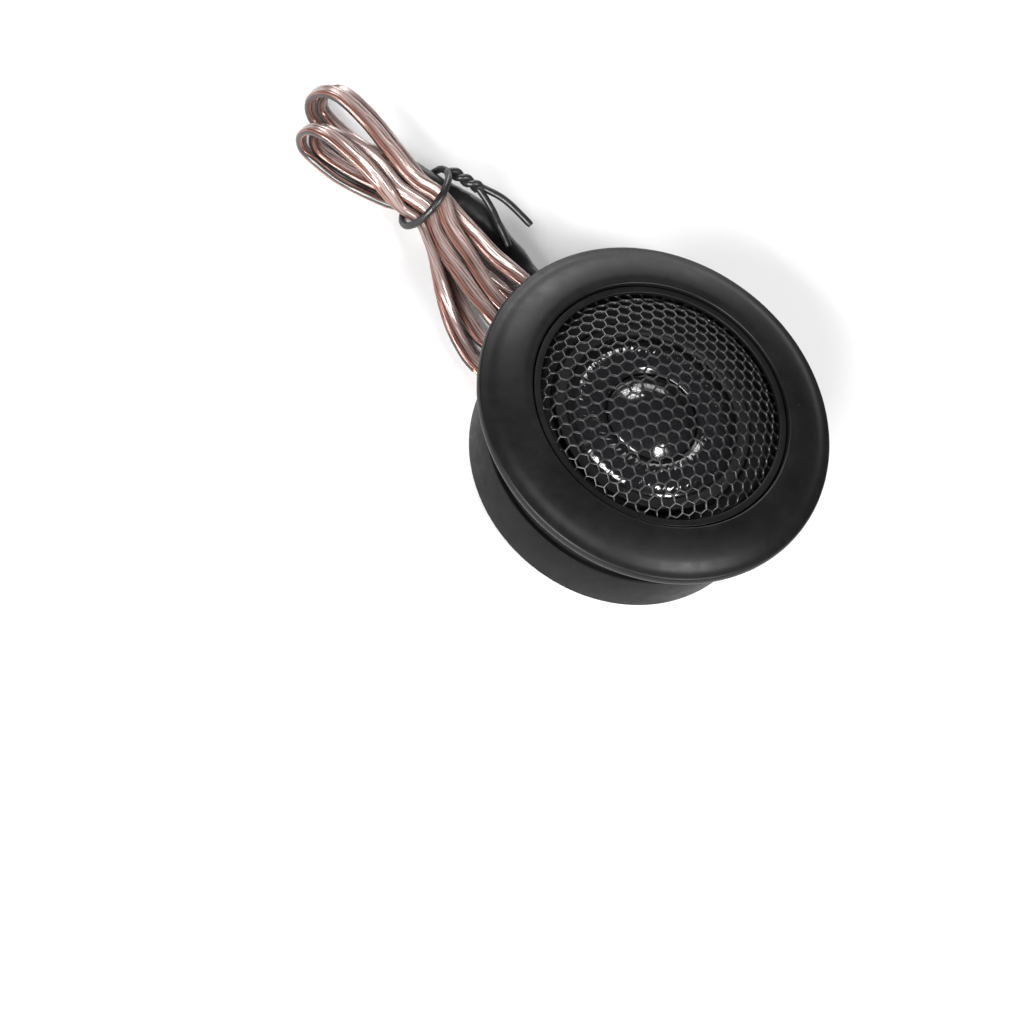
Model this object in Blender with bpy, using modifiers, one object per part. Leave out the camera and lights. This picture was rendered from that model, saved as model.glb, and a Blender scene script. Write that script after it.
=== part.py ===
"""Car tweeter: a flush-mount dome tweeter with its speaker lead folded in a hank.

Metres, +Z up. The origin is the centre of the housing's rear face, and +Z is the
speaker's axis, towards the grille. The lead leaves the housing at the side and its
hank lies along -X on the surface that the rear face stands on.
"""

import math

import bmesh
import bpy
import numpy as np
from mathutils import Matrix, Vector

MM = 0.001
GAP = 0.3

# Driving dimensions, in millimetres.
FLANGE_R = 28.0
FLANGE_WIDE_Z = 18.4
FLANGE_BACK_Z = 17.0
FLANGE_EDGE_R = 1.3
SEAT_IN_R = 24.2
SEAT_OUT_R = 26.6
SEAT_STEP = 0.3
GROOVE_R = 20.3
GROOVE_Z = 21.5
LEDGE_R = 18.2
LEDGE_TOP_Z = 19.3
CUP_R = 23.7
CUP_WALL = 1.6
CUP_TOP_Z = 8.8
CUP_FLOOR = 2.2
BARREL_R = 23.2
BARREL_WALL = 2.0
BARREL_TOP_Z = FLANGE_BACK_Z + SEAT_STEP - GAP
SPIGOT_R = CUP_R - CUP_WALL - GAP
SPIGOT_Z = 7.5
GRILLE_APEX_Z = 25.5
GRILLE_SPHERE_R = 39.0
GRILLE_SHOULDER_R = 18.3
GRILLE_SHEET = 0.45
DOME_R = 7.0
DOME_BASE_Z = 16.9
DOME_RISE = 2.6
FILM = 0.2
SURROUND_IN_R = DOME_R + GAP
SURROUND_ROLL_R = 13.0
SURROUND_OUT_R = 15.2
FORMER_R = 6.95
FORMER_WALL = 0.25
WINDING_R = 7.45
POLE_R = 6.4
MAGNET_R = 6.0
YOKE_R = 10.0
YOKE_BORE_R = 7.75
YOKE_Z = (4.2, 12.9)
BASKET_R = 19.9
BASKET_PLATE_Z = (13.2, 14.4)
BASKET_RIM_Z = 16.0
REAR_SCREW_R = 18.4
REAR_SCREW_ANGLES = (90, 210, 330)
REAR_HEAD_R = 1.9
REAR_HEAD_Z = (0.15, 1.0)
HEAD_WELL_R = REAR_HEAD_R + 0.4
HEAD_WELL_Z = REAR_HEAD_Z[1] + GAP
DRIVER_SCREW_R = 17.4
DRIVER_SCREW_ANGLES = (60, 180, 300)
DRIVER_HEAD_R = 1.7
POST_R = 2.5
POST_TOP_Z = 12.6
PILOT_R = 1.1
SHANK_R = 0.8
EXIT_ANGLE = 142
EXIT_Z = 4.8
LEAD_WIDTH = 2.6
CORE_R = 0.55
GROMMET_HOLE_R = 2.25
TIE_WIRE_R = 0.55

LARGE = 56
MIDDLE = 40
SMALL = 16


def clear_scene():
    for old in list(bpy.data.objects):
        bpy.data.objects.remove(old)


def collection(name):
    made = bpy.data.collections.new(name)
    bpy.context.scene.collection.children.link(made)
    return made


clear_scene()
PARTS = collection("car_tweeter")
CUTTERS = collection("cutters")


def material(name, colour, roughness, metallic=0.0):
    made = bpy.data.materials.new(name)
    made.use_nodes = True
    shader = made.node_tree.nodes["Principled BSDF"]
    shader.inputs["Base Color"].default_value = (*colour, 1.0)
    shader.inputs["Roughness"].default_value = roughness
    shader.inputs["Metallic"].default_value = metallic
    return made


BLACK_SATIN = material("black_satin_plastic", (0.012, 0.012, 0.013), 0.42)
BLACK_MATT = material("black_matt_plastic", (0.018, 0.018, 0.018), 0.6)
BLACK_METAL = material("black_painted_steel", (0.02, 0.02, 0.02), 0.35, 0.3)
FILM_BLACK = material("polyetherimide_film", (0.03, 0.03, 0.03), 0.12)
STEEL = material("zinc_plated_steel", (0.6, 0.6, 0.6), 0.35, 1.0)
MAGNET_NICKEL = material("nickel_plate", (0.66, 0.64, 0.6), 0.25, 1.0)
COPPER = material("copper", (0.8, 0.42, 0.3), 0.3, 1.0)
TINNED = material("tinned_copper", (0.75, 0.75, 0.76), 0.3, 1.0)
BRASS = material("brass", (0.78, 0.6, 0.3), 0.35, 1.0)
KAPTON = material("polyimide_former", (0.55, 0.25, 0.05), 0.35)
FIBRE = material("fibre_board", (0.35, 0.2, 0.1), 0.7)
FELT = material("felt", (0.2, 0.2, 0.2), 0.95)
FOAM = material("foam", (0.04, 0.04, 0.04), 0.95)
RUBBER = material("rubber", (0.015, 0.015, 0.015), 0.7)
CLEAR_LEAD = material("clear_pvc_lead", (0.8, 0.55, 0.48), 0.25)
SLEEVE_BLACK = material("heat_shrink", (0.015, 0.015, 0.016), 0.4)
CAN_BLUE = material("capacitor_sleeve", (0.05, 0.12, 0.35), 0.35)
TIE_BLACK = material("tie_pvc", (0.012, 0.012, 0.012), 0.4)


def add(name, mesh, look, group=PARTS):
    obj = bpy.data.objects.new(name, mesh)
    group.objects.link(obj)
    if look:
        mesh.materials.append(look)
    if group is CUTTERS:
        obj.hide_render = True
        obj.display_type = "WIRE"
    return obj


def smooth(obj, angle=35):
    obj.data.shade_smooth()
    obj.data.set_sharp_from_angle(angle=math.radians(angle))
    return obj


def screw(obj, steps):
    turn = obj.modifiers.new("turn", "SCREW")
    turn.axis = "Z"
    turn.steps = steps
    turn.render_steps = steps
    turn.use_merge_vertices = True
    turn.merge_threshold = 1e-6
    turn.use_smooth_shade = True
    return turn


def turned(name, profile, look, steps=LARGE, closed=True, group=PARTS):
    """A turned solid: the profile's (radius, height) points run down its outer side."""
    mesh = bpy.data.meshes.new(name)
    points = [(r * MM, 0.0, z * MM) for r, z in profile]
    edges = [(i, i + 1) for i in range(len(points) - 1)]
    if closed:
        edges.append((len(points) - 1, 0))
    mesh.from_pydata(points, edges, [])
    obj = add(name, mesh, look, group)
    screw(obj, steps)
    return obj


def ring(name, outer, inner, low, high, look, steps=MIDDLE):
    return turned(name, [(outer, high), (outer, low), (inner, low), (inner, high)], look, steps)


def cylinder(name, radius, low, high, look, steps=SMALL, at=(0, 0), group=PARTS):
    shape = bmesh.new()
    depth = (high - low) * MM
    bmesh.ops.create_cone(
        shape, cap_ends=True, segments=steps, radius1=radius * MM, radius2=radius * MM, depth=depth
    )
    mesh = bpy.data.meshes.new(name)
    shape.to_mesh(mesh)
    shape.free()
    obj = add(name, mesh, look, group)
    obj.location = (at[0] * MM, at[1] * MM, (low + high) / 2 * MM)
    return smooth(obj)


def box(name, size, centre, look, turn_deg=0.0, group=PARTS):
    shape = bmesh.new()
    bmesh.ops.create_cube(shape, size=1.0)
    scale = Matrix.Diagonal((*[side * MM for side in size], 1.0))
    bmesh.ops.transform(shape, matrix=scale, verts=shape.verts)
    mesh = bpy.data.meshes.new(name)
    shape.to_mesh(mesh)
    shape.free()
    obj = add(name, mesh, look, group)
    obj.location = [c * MM for c in centre]
    obj.rotation_euler = (0, 0, math.radians(turn_deg))
    return obj


def boolean(obj, cutters, operation="DIFFERENCE"):
    for cutter in cutters:
        step = obj.modifiers.new(operation.lower(), "BOOLEAN")
        step.operation = operation
        step.object = cutter
    return obj


def polar(radius, angle_deg):
    angle = math.radians(angle_deg)
    return radius * math.cos(angle), radius * math.sin(angle)


def smooth_path(stations, spacing):
    """Points read every `spacing` mm from a Catmull-Rom curve through the stations."""
    ends = [2 * stations[0] - stations[1], 2 * stations[-1] - stations[-2]]
    knots = [ends[0], *stations, ends[1]]
    fine = []
    for a, b, c, d in zip(knots, knots[1:], knots[2:], knots[3:]):
        for t in np.linspace(0, 1, 24, endpoint=False):
            bend = (2 * a - 5 * b + 4 * c - d) * t**2
            twist = (3 * b - a - 3 * c + d) * t**3
            fine.append(0.5 * (2 * b + (c - a) * t + bend + twist))
    fine.append(stations[-1])
    fine = np.array(fine)
    travelled = np.concatenate([[0], np.cumsum(np.linalg.norm(np.diff(fine, axis=0), axis=1))])
    count = max(2, round(travelled[-1] / spacing) + 1)
    wanted = np.linspace(0, travelled[-1], count)
    return np.stack([np.interp(wanted, travelled, fine[:, i]) for i in range(3)], axis=1)


def tube(name, points, radius, look, resolution=2, radii=None, group=PARTS):
    """A round wire or tube along the points, closed at both ends."""
    curve = bpy.data.curves.new(name, "CURVE")
    curve.dimensions = "3D"
    curve.bevel_depth = radius * MM
    curve.bevel_resolution = resolution
    curve.use_fill_caps = True
    spline = curve.splines.new("POLY")
    spline.points.add(len(points) - 1)
    for index, point in enumerate(points):
        spline.points[index].co = (*[c * MM for c in point], 1.0)
        if radii is not None:
            spline.points[index].radius = radii[index]
    return add(name, curve, look, group)


def meshed(obj):
    """The curve object as a welded mesh object, for a Boolean."""
    graph = bpy.context.evaluated_depsgraph_get()
    mesh = bpy.data.meshes.new_from_object(obj.evaluated_get(graph))
    shape = bmesh.new()
    shape.from_mesh(mesh)
    bmesh.ops.remove_doubles(shape, verts=shape.verts, dist=1e-6)
    bmesh.ops.recalc_face_normals(shape, faces=shape.faces)
    shape.to_mesh(mesh)
    shape.free()
    name, place, group = obj.name, obj.matrix_world.copy(), obj.users_collection[0]
    bpy.data.objects.remove(obj)
    made = add(name, mesh, None, group)
    made.matrix_world = place
    return made


def arc(centre, radius, start_deg, end_deg, count):
    angles = np.radians(np.linspace(start_deg, end_deg, count))
    return [(centre[0] + radius * math.cos(a), centre[1] + radius * math.sin(a)) for a in angles]


# Housing ---------------------------------------------------------------------


def front_bezel():
    """The flange ring: a convex front face, a groove lip and a flat back.

    The back's outer part is the seat that lies on the panel round the mounting hole. It
    stands a little proud of the rest of the back.
    """
    section = [
        (GROOVE_R, GROOVE_Z - 0.2),
        (GROOVE_R + 0.25, GROOVE_Z),
        (21.9, 21.42),
        (23.6, 21.0),
        (25.3, 20.35),
        (26.7, 19.55),
        *arc((FLANGE_R - FLANGE_EDGE_R, FLANGE_WIDE_Z), FLANGE_EDGE_R, 48, -40, 5),
        (SEAT_OUT_R, FLANGE_BACK_Z),
        (SEAT_IN_R, FLANGE_BACK_Z),
        (SEAT_IN_R, FLANGE_BACK_Z + SEAT_STEP),
        (LEDGE_R, FLANGE_BACK_Z + SEAT_STEP),
        (LEDGE_R, LEDGE_TOP_Z),
        (GROOVE_R, LEDGE_TOP_Z),
    ]
    return turned("front_bezel", section, BLACK_SATIN)


def screw_places(radius, angles):
    return [polar(radius, angle) for angle in angles]


def drills(name, radius, low, high, places):
    """Cylinders for a Boolean, one at each place."""
    made = []
    for index, at in enumerate(places):
        made.append(cylinder(f"{name}_{index}", radius, low, high, None, SMALL, at, CUTTERS))
    return made


def barrel():
    """The mounting barrel: a wall, a spigot that enters the cup, and three screw posts."""
    inner = BARREL_R - BARREL_WALL
    section = [
        (BARREL_R, BARREL_TOP_Z),
        (BARREL_R, CUP_TOP_Z + GAP),
        (SPIGOT_R, CUP_TOP_Z + GAP),
        (SPIGOT_R, SPIGOT_Z),
        (SPIGOT_R - 1.2, SPIGOT_Z),
        (SPIGOT_R - 1.2, CUP_TOP_Z + 1.2),
        (inner, CUP_TOP_Z + 2.0),
        (inner, BARREL_TOP_Z),
    ]
    body = turned("barrel", section, BLACK_SATIN)
    post_z = (CUP_FLOOR + GAP, POST_TOP_Z)
    pilot_z = (CUP_FLOOR - 1.7, SPIGOT_Z + 1.5)
    posts = drills("post", POST_R, *post_z, screw_places(REAR_SCREW_R + 0.4, REAR_SCREW_ANGLES))
    pilots = drills("pilot", PILOT_R, *pilot_z, screw_places(REAR_SCREW_R, REAR_SCREW_ANGLES))
    boolean(body, posts, "UNION")
    return boolean(body, pilots)


def rear_cup(exit_hole):
    """The rear cup, with counterbored screw holes and the hole for the grommet."""
    section = [
        (CUP_R - 0.25, CUP_TOP_Z),
        (CUP_R, CUP_TOP_Z - 0.25),
        (CUP_R, 0.7),
        (CUP_R - 0.2, 0.2),
        (CUP_R - 0.7, 0.0),
        (0.0, 0.0),
        (0.0, CUP_FLOOR),
        (CUP_R - CUP_WALL, CUP_FLOOR),
        (CUP_R - CUP_WALL, CUP_TOP_Z),
    ]
    body = turned("rear_cup", section, BLACK_SATIN)
    places = screw_places(REAR_SCREW_R, REAR_SCREW_ANGLES)
    cutters = [exit_hole]
    for shank, head in zip(
        drills("shank_hole", PILOT_R, -1.0, CUP_FLOOR + 1.8, places),
        drills("head_well", HEAD_WELL_R, -1.0, HEAD_WELL_Z, places),
    ):
        cutters += [shank, head]
    return boolean(body, cutters)


def grommet():
    """The rubber grommet in the cup's wall: a groove holds the wall, a bore holds the lead."""
    bore = LEAD_WIDTH / 2 + 0.2
    neck = GROMMET_HOLE_R - GAP
    half_wall = CUP_WALL / 2 + 0.2
    section = [
        (2.2, half_wall + 0.85),
        (2.5, half_wall + 0.5),
        (2.5, half_wall),
        (neck, half_wall),
        (neck, -half_wall),
        (2.4, -half_wall),
        (2.4, -half_wall - 0.5),
        (bore, -half_wall - 0.5),
        (bore, half_wall + 0.85),
    ]
    body = turned("cable_grommet", section, RUBBER, 24)
    x, y = polar(CUP_R - CUP_WALL / 2, EXIT_ANGLE)
    body.matrix_world = Matrix.Translation((x * MM, y * MM, EXIT_Z * MM)) @ outward_turn()
    return body


def outward_turn():
    """Turns local +Z to the direction in which the lead leaves the housing."""
    direction = Vector((*polar(1.0, EXIT_ANGLE), 0.0))
    return direction.to_track_quat("Z", "Y").to_matrix().to_4x4()


def exit_cutter():
    hole = cylinder("exit_hole", GROMMET_HOLE_R, -2.2, 2.2, None, 24, (0, 0), CUTTERS)
    x, y = polar(CUP_R - CUP_WALL / 2, EXIT_ANGLE)
    hole.matrix_world = Matrix.Translation((x * MM, y * MM, EXIT_Z * MM)) @ outward_turn()
    return hole


def rear_screw(index, at):
    low, high = REAR_HEAD_Z
    section = [
        (0.0, 6.6),
        (SHANK_R * 0.6, 6.3),
        (SHANK_R, 5.6),
        (SHANK_R, high),
        (REAR_HEAD_R, high),
        (REAR_HEAD_R, low + 0.25),
        (REAR_HEAD_R - 0.3, low),
        (0.0, low),
    ]
    body = turned(f"rear_screw_{index + 1}", section, STEEL, SMALL, closed=False)
    body.location = (at[0] * MM, at[1] * MM, 0)
    return body


# Grille ----------------------------------------------------------------------


def grille_height(radius):
    """Height of the dome's outer face over the given radius."""
    return GRILLE_APEX_Z - GRILLE_SPHERE_R + math.sqrt(GRILLE_SPHERE_R**2 - radius**2)


def grille_mesh():
    """The pressed mesh: a dome, a steep shoulder and a flat rim under the grille ring."""
    rim_z = LEDGE_TOP_Z + GAP + GRILLE_SHEET
    section = [(0.0, GRILLE_APEX_Z)]
    section += [(r, grille_height(r)) for r in (6.0, 11.0, 15.0)]
    section += [(17.5, grille_height(17.5) - 0.15), (GRILLE_SHOULDER_R, 20.6)]
    section += [(18.5, rim_z), (19.8, rim_z)]
    body = turned("grille_mesh", section, BLACK_METAL, 48, closed=False)
    sheet = body.modifiers.new("sheet", "SOLIDIFY")
    sheet.thickness = GRILLE_SHEET * MM
    sheet.offset = -1
    return body


def grille_ring():
    low = LEDGE_TOP_Z + 2 * GAP + GRILLE_SHEET
    section = [(19.9, 21.05), (20.0, 20.9), (20.0, low), (18.95, low), (18.95, 20.9), (19.05, 21.05)]
    return turned("grille_ring", section, BLACK_SATIN)


# Driver ----------------------------------------------------------------------


def driver_holes(name, low, high):
    return drills(name, PILOT_R, low, high, screw_places(DRIVER_SCREW_R, DRIVER_SCREW_ANGLES))


def driver_basket():
    """The moulded frame: a collar round the yoke, a plate, and a raised rim for the diaphragm."""
    low, high = BASKET_PLATE_Z
    section = [
        (BASKET_R, BASKET_RIM_Z),
        (BASKET_R, low),
        (11.9, low),
        (11.9, 8.4),
        (YOKE_R + GAP, 8.4),
        (YOKE_R + GAP, low),
        (8.3, low),
        (8.3, high),
        (12.6, high),
        (13.0, BASKET_RIM_Z),
    ]
    body = turned("driver_basket", section, BLACK_MATT)
    cutters = driver_holes("basket_hole", low - 1, BASKET_RIM_Z + 1)
    lead_places = screw_places(COIL_LEAD_HOLE_R, COIL_LEAD_ANGLES)
    return boolean(body, cutters + drills("lead_hole", 0.6, low - 1.2, BASKET_RIM_Z + 1, lead_places))


def face_plate():
    """The plate round the diaphragm, with a shallow flare, seen through the grille."""
    section = [
        (BASKET_R, FLANGE_BACK_Z - GAP),
        (BASKET_R, BASKET_RIM_Z + GAP),
        (15.8, BASKET_RIM_Z + GAP),
        (16.2, FLANGE_BACK_Z - GAP),
    ]
    return boolean(turned("face_plate", section, BLACK_MATT), driver_holes("plate_hole", 14.0, 18.0))


def driver_screw(index, at):
    """Holds the basket and the face plate to the bezel's back, driven from behind."""
    head = BASKET_PLATE_Z[0] - 0.15
    section = [
        (0.0, FLANGE_BACK_Z - GAP / 2 - 0.3),
        (SHANK_R, FLANGE_BACK_Z - GAP / 2 - 0.3),
        (SHANK_R, head),
        (DRIVER_HEAD_R, head),
        (DRIVER_HEAD_R, head - 0.9),
        (0.0, head - 0.9),
    ]
    body = turned(f"driver_screw_{index + 1}", section, STEEL, SMALL, closed=False)
    body.location = (at[0] * MM, at[1] * MM, 0)
    return body


def dome_sphere_r():
    return (DOME_R**2 + DOME_RISE**2) / (2 * DOME_RISE)


def diaphragm_dome():
    sphere = dome_sphere_r()
    span = math.degrees(math.asin(DOME_R / sphere))
    section = arc((0.0, DOME_BASE_Z + DOME_RISE - sphere), sphere, 90, 90 - span, 7)
    section[0] = (0.0, DOME_BASE_Z + DOME_RISE)
    body = turned("diaphragm_dome", section, FILM_BLACK, MIDDLE, closed=False)
    film = body.modifiers.new("film", "SOLIDIFY")
    film.thickness = FILM * MM
    film.offset = -1
    return body


def surround():
    """The rolled film ring between the dome and its clamp; it flexes as the dome moves."""
    section = [
        (SURROUND_IN_R, 16.9),
        (8.3, 17.6),
        (10.1, 18.0),
        (11.9, 17.6),
        (SURROUND_ROLL_R, 16.75),
        (13.5, 16.5),
        (SURROUND_OUT_R, 16.5),
    ]
    body = turned("surround", section, FILM_BLACK, MIDDLE, closed=False)
    film = body.modifiers.new("film", "SOLIDIFY")
    film.thickness = FILM * MM
    film.offset = -1
    return body


def diaphragm_ring():
    section = [(15.4, 17.5), (15.5, 17.4), (15.5, 16.8), (13.7, 16.8), (13.7, 17.2), (14.0, 17.5)]
    return turned("diaphragm_ring", section, BLACK_MATT, MIDDLE)


def yoke_cup():
    low, high = YOKE_Z
    section = [
        (YOKE_R, high),
        (YOKE_R, low + 0.6),
        (YOKE_R - 0.6, low),
        (0.0, low),
        (0.0, low + 2.0),
        (YOKE_BORE_R, low + 2.0),
        (YOKE_BORE_R, high),
    ]
    return turned("yoke_cup", section, STEEL, MIDDLE)


def motor():
    """The magnet stack and the coil that moves in its gap."""
    yoke_cup()
    cylinder("magnet", MAGNET_R, 6.5, 10.0, MAGNET_NICKEL, MIDDLE)
    cylinder("pole_plate", POLE_R, 10.3, 12.6, STEEL, MIDDLE)
    cylinder("pole_felt_pad", 5.5, 12.9, 14.2, FELT, MIDDLE)
    cylinder("rear_foam_pad", 9.5, CUP_FLOOR + GAP, YOKE_Z[0] - GAP, FOAM, MIDDLE)
    ring("voice_coil_former", FORMER_R, FORMER_R - FORMER_WALL, 9.6, DOME_BASE_Z - FILM - GAP, KAPTON)
    ring("voice_coil_winding", WINDING_R, FORMER_R + 0.15, 10.2, 12.8, COPPER)


# Terminals -------------------------------------------------------------------

BOARD_RADIUS = 15.9
BOARD_SIZE = (4.6, 9.0, 1.0)
BOARD_TOP_Z = BASKET_PLATE_Z[0] - GAP
TAG_SIZE = (2.6, 1.6, 0.5)
TAG_SPREAD = 2.4
COIL_LEAD_SPREAD = 9
COIL_LEAD_ANGLES = (EXIT_ANGLE - COIL_LEAD_SPREAD, EXIT_ANGLE + COIL_LEAD_SPREAD)
COIL_LEAD_HOLE_R = 12.7
SIDES = (("positive", -1, COPPER), ("negative", 1, TINNED))


def beside(radius, across, height):
    """A point at the cable's angle: radius outwards, across sideways, and height."""
    x, y = polar(radius, EXIT_ANGLE)
    angle = math.radians(EXIT_ANGLE + 90)
    return np.array([x + across * math.cos(angle), y + across * math.sin(angle), height])


def terminals():
    x, y = polar(BOARD_RADIUS, EXIT_ANGLE)
    low = BOARD_TOP_Z - BOARD_SIZE[2]
    box("terminal_board", BOARD_SIZE, (x, y, BOARD_TOP_Z - BOARD_SIZE[2] / 2), FIBRE, EXIT_ANGLE)
    for side, sign, look in SIDES:
        tag_z = low - GAP - TAG_SIZE[2] / 2
        tag_place = beside(BOARD_RADIUS, sign * TAG_SPREAD, tag_z)
        box(f"terminal_tag_{side}", TAG_SIZE, tag_place, BRASS, EXIT_ANGLE)
        lead_core(side, sign, look, tag_z - TAG_SIZE[2] / 2 - GAP)
        coil_lead(side, sign, tag_z)


def lead_core(side, sign, look, top):
    """One core of the lead, split off inside the housing and bent up to its tag."""
    stations = [
        beside(19.9, sign * 0.75, EXIT_Z),
        beside(18.2, sign * 1.0, EXIT_Z + 0.4),
        beside(16.6, sign * 1.7, EXIT_Z + 2.2),
        beside(BOARD_RADIUS, sign * TAG_SPREAD, top - 1.8),
        beside(BOARD_RADIUS, sign * TAG_SPREAD, top),
    ]
    tube(f"lead_core_{side}", smooth_path(stations, 1.3), CORE_R, look)


def coil_lead(side, sign, tag_z):
    """The voice coil's lead-out: from the coil, over the basket and down a hole to the tag."""
    angle = EXIT_ANGLE + sign * COIL_LEAD_SPREAD
    stations = [
        np.array([*polar(7.9, angle), 15.3]),
        np.array([*polar(9.4, angle), 15.0]),
        np.array([*polar(11.3, angle), 15.3]),
        np.array([*polar(12.5, angle), 14.9]),
        np.array([*polar(COIL_LEAD_HOLE_R, angle), 13.6]),
        np.array([*polar(12.75, angle), 12.2]),
        np.array([*polar(13.3, angle), tag_z + 0.1]),
        beside(BOARD_RADIUS - TAG_SIZE[0] / 2 - GAP, sign * TAG_SPREAD, tag_z),
    ]
    tube(f"coil_lead_{side}", smooth_path(stations, 1.0), 0.15, COPPER)


# Lead, sleeve, capacitor, hank and tie ------------------------------------------

# The hank leans, so its stations are given as x, lean and height: the lean is how far
# a point lies along the direction that rises LEAN_DEG from +Y, and the height is z.
LEAN_DEG = 31.7
LEAN_COS = math.cos(math.radians(LEAN_DEG))
LEAN_SIN = math.sin(math.radians(LEAN_DEG))


def leaning(x, lean, height):
    """The point at x whose distance along the leaning direction and height are given."""
    depth = (height - LEAN_SIN * lean) / LEAN_COS
    return np.array([x, LEAN_COS * lean - LEAN_SIN * depth, height])


LEAD_TO_SLEEVE = [
    beside(20.2, 0.0, EXIT_Z),
    beside(22.0, 0.0, EXIT_Z),
    beside(24.4, 0.0, EXIT_Z),
    np.array([-21.4, 16.6, 4.0]),
    np.array([-23.4, 17.5, 3.4]),
]
SLEEVE_STATIONS = [
    np.array([-23.7, 17.6, 3.3]),
    leaning(-28.9, 16.9, 2.7),
    leaning(-34.9, 17.9, 3.2),
    leaning(-39.5, 18.7, 4.2),
    leaning(-43.5, 18.8, 5.0),
    leaning(-48.5, 18.5, 5.9),
    leaning(-52.0, 18.6, 5.6),
    leaning(-55.5, 18.9, 4.9),
]
SLEEVE_R = 2.05
SLEEVE_WALL = 0.35
HANK_Z = (0.5, 10.1)
HANK_ROUND = 1.6


def sleeve():
    """The heat-shrink sleeve: an open tube, narrower where it grips the lead at its ends."""
    points = smooth_path(SLEEVE_STATIONS, 1.8)
    count = len(points)
    radii = [sleeve_swell(index / (count - 1)) for index in range(count)]
    body = meshed(tube("heat_shrink_sleeve", points, SLEEVE_R, None, 3, radii))
    along = (points[1] - points[0]) / np.linalg.norm(points[1] - points[0])
    beyond = (points[-1] - points[-2]) / np.linalg.norm(points[-1] - points[-2])
    longer = [points[0] - along, *points, points[-1] + beyond]
    inner = SLEEVE_R - SLEEVE_WALL
    bore = meshed(tube("sleeve_bore", longer, inner, None, 3, [radii[0], *radii, radii[-1]], CUTTERS))
    body.data.materials.clear()
    body.data.materials.append(SLEEVE_BLACK)
    return boolean(body, [bore])


def sleeve_swell(share):
    """The sleeve's radius factor: shrunk onto the lead at both ends, full over the capacitor."""
    rise = min(share, 1 - share) / 0.12
    return 0.86 + 0.14 * min(1.0, rise)


def capacitor():
    """A small bipolar capacitor in line with one core, with its two soldered leads."""
    section = [
        (0.0, 5.4),
        (0.3, 5.4),
        (0.3, 3.5),
        (1.1, 3.5),
        (1.3, 3.3),
        (1.3, -3.3),
        (1.1, -3.5),
        (0.3, -3.5),
        (0.3, -5.4),
        (0.0, -5.4),
    ]
    body = turned("capacitor", section, CAN_BLUE, SMALL, closed=False)
    centre = Vector(SLEEVE_STATIONS[2] * MM)
    along = Vector(SLEEVE_STATIONS[3] - SLEEVE_STATIONS[1]).normalized()
    turn = along.to_track_quat("Z", "Y").to_matrix().to_4x4()
    body.matrix_world = Matrix.Translation(centre) @ turn
    return body


def hank():
    """The folded lead's outer shape: a fan, a waist at the tie, and loops at the left end."""
    fan_front = [(-24.8, -1.6), (-31.0, -1.2), (-39.0, 4.6), (-44.5, 9.4)]
    waist_front = [(-48.5, 11.0), (-52.5, 10.6)]
    loops = [(-60.0, 9.2), (-67.0, 9.0), (-71.5, 10.6), (-74.0, 15.5), (-74.2, 20.0)]
    loops += [(-71.5, 22.9), (-66.0, 23.4), (-60.0, 22.8), (-57.2, 21.0), (-56.2, 17.2)]
    waist_back = [(-52.0, 15.5), (-48.5, 15.1)]
    fan_back = [(-44.5, 15.6), (-38.0, 16.0), (-31.0, 15.2), (-25.6, 14.2), (-21.8, 12.0)]
    turning = [*fan_front, *waist_front, *loops, *waist_back, *fan_back]
    corners = [np.array([x, y, 0.0]) for x, y in turning]
    bay = [polar(CUP_R + 0.6, angle) for angle in (156, 164, 172)]
    outline = [(x, y) for x, y, _ in smooth_path(corners, 2.5)] + bay
    curve = bpy.data.curves.new("cable_hank", "CURVE")
    curve.dimensions = "2D"
    curve.fill_mode = "BOTH"
    low, high = HANK_Z
    curve.extrude = ((high - low) / 2 - HANK_ROUND) * MM
    curve.bevel_depth = HANK_ROUND * MM
    curve.bevel_resolution = 1
    curve.offset = -HANK_ROUND * MM
    spline = curve.splines.new("POLY")
    spline.points.add(len(outline) - 1)
    for index, (x, y) in enumerate(outline):
        spline.points[index].co = (x * MM, y * MM, 0, 1)
    spline.use_cyclic_u = True
    body = add("cable_hank", curve, CLEAR_LEAD)
    body.location.z = (low + high) / 2 * MM
    body = meshed(body)
    body.data.materials.clear()
    body.data.materials.append(CLEAR_LEAD)
    return boolean(body, [tie_groove()])


# The tie's ring is an ellipse across the hank, with its long axis along the lean.
TIE_X = -48.85
TIE_CENTRE = leaning(TIE_X, 16.45, 5.57)
TIE_HALF_LONG = 5.3
TIE_HALF_SHORT = 4.15
TIE_TILT = 0.5
LONG_AXIS = np.array([0.0, LEAN_COS, LEAN_SIN])
SHORT_AXIS = np.array([TIE_TILT, -LEAN_SIN, LEAN_COS])
TWIST_START = leaning(-47.5, 22.7, 8.8)
TWIST_END = leaning(-42.0, 23.1, 8.6)
TWIST_R = 0.8
TWIST_TURNS = 2.0
TIE_TAILS = (
    [leaning(-39.0, 24.0, 8.2), leaning(-36.0, 23.8, 8.0), leaning(-32.9, 23.0, 7.7)],
    [leaning(-38.9, 21.9, 7.9), leaning(-35.9, 20.0, 7.0), leaning(-33.3, 18.3, 6.2)],
)


def tie_groove():
    """Cuts the hank down to the space inside the tie's ring."""
    half_width = TIE_WIRE_R + 0.4
    section = [(3.0, half_width), (3.0, -half_width), (1.0, -half_width), (1.0, half_width)]
    cutter = turned("tie_groove", section, None, 32, group=CUTTERS)
    across = Vector(LONG_AXIS)
    upward = Vector(SHORT_AXIS)
    inset = TIE_WIRE_R + GAP
    turn = Matrix((across, upward.normalized(), across.cross(upward).normalized())).transposed().to_4x4()
    short = TIE_HALF_SHORT * upward.length - inset
    size = Matrix.Diagonal((TIE_HALF_LONG - inset, short, 1.0, 1.0))
    cutter.matrix_world = Matrix.Translation(TIE_CENTRE * MM) @ turn @ size
    return cutter


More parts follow.
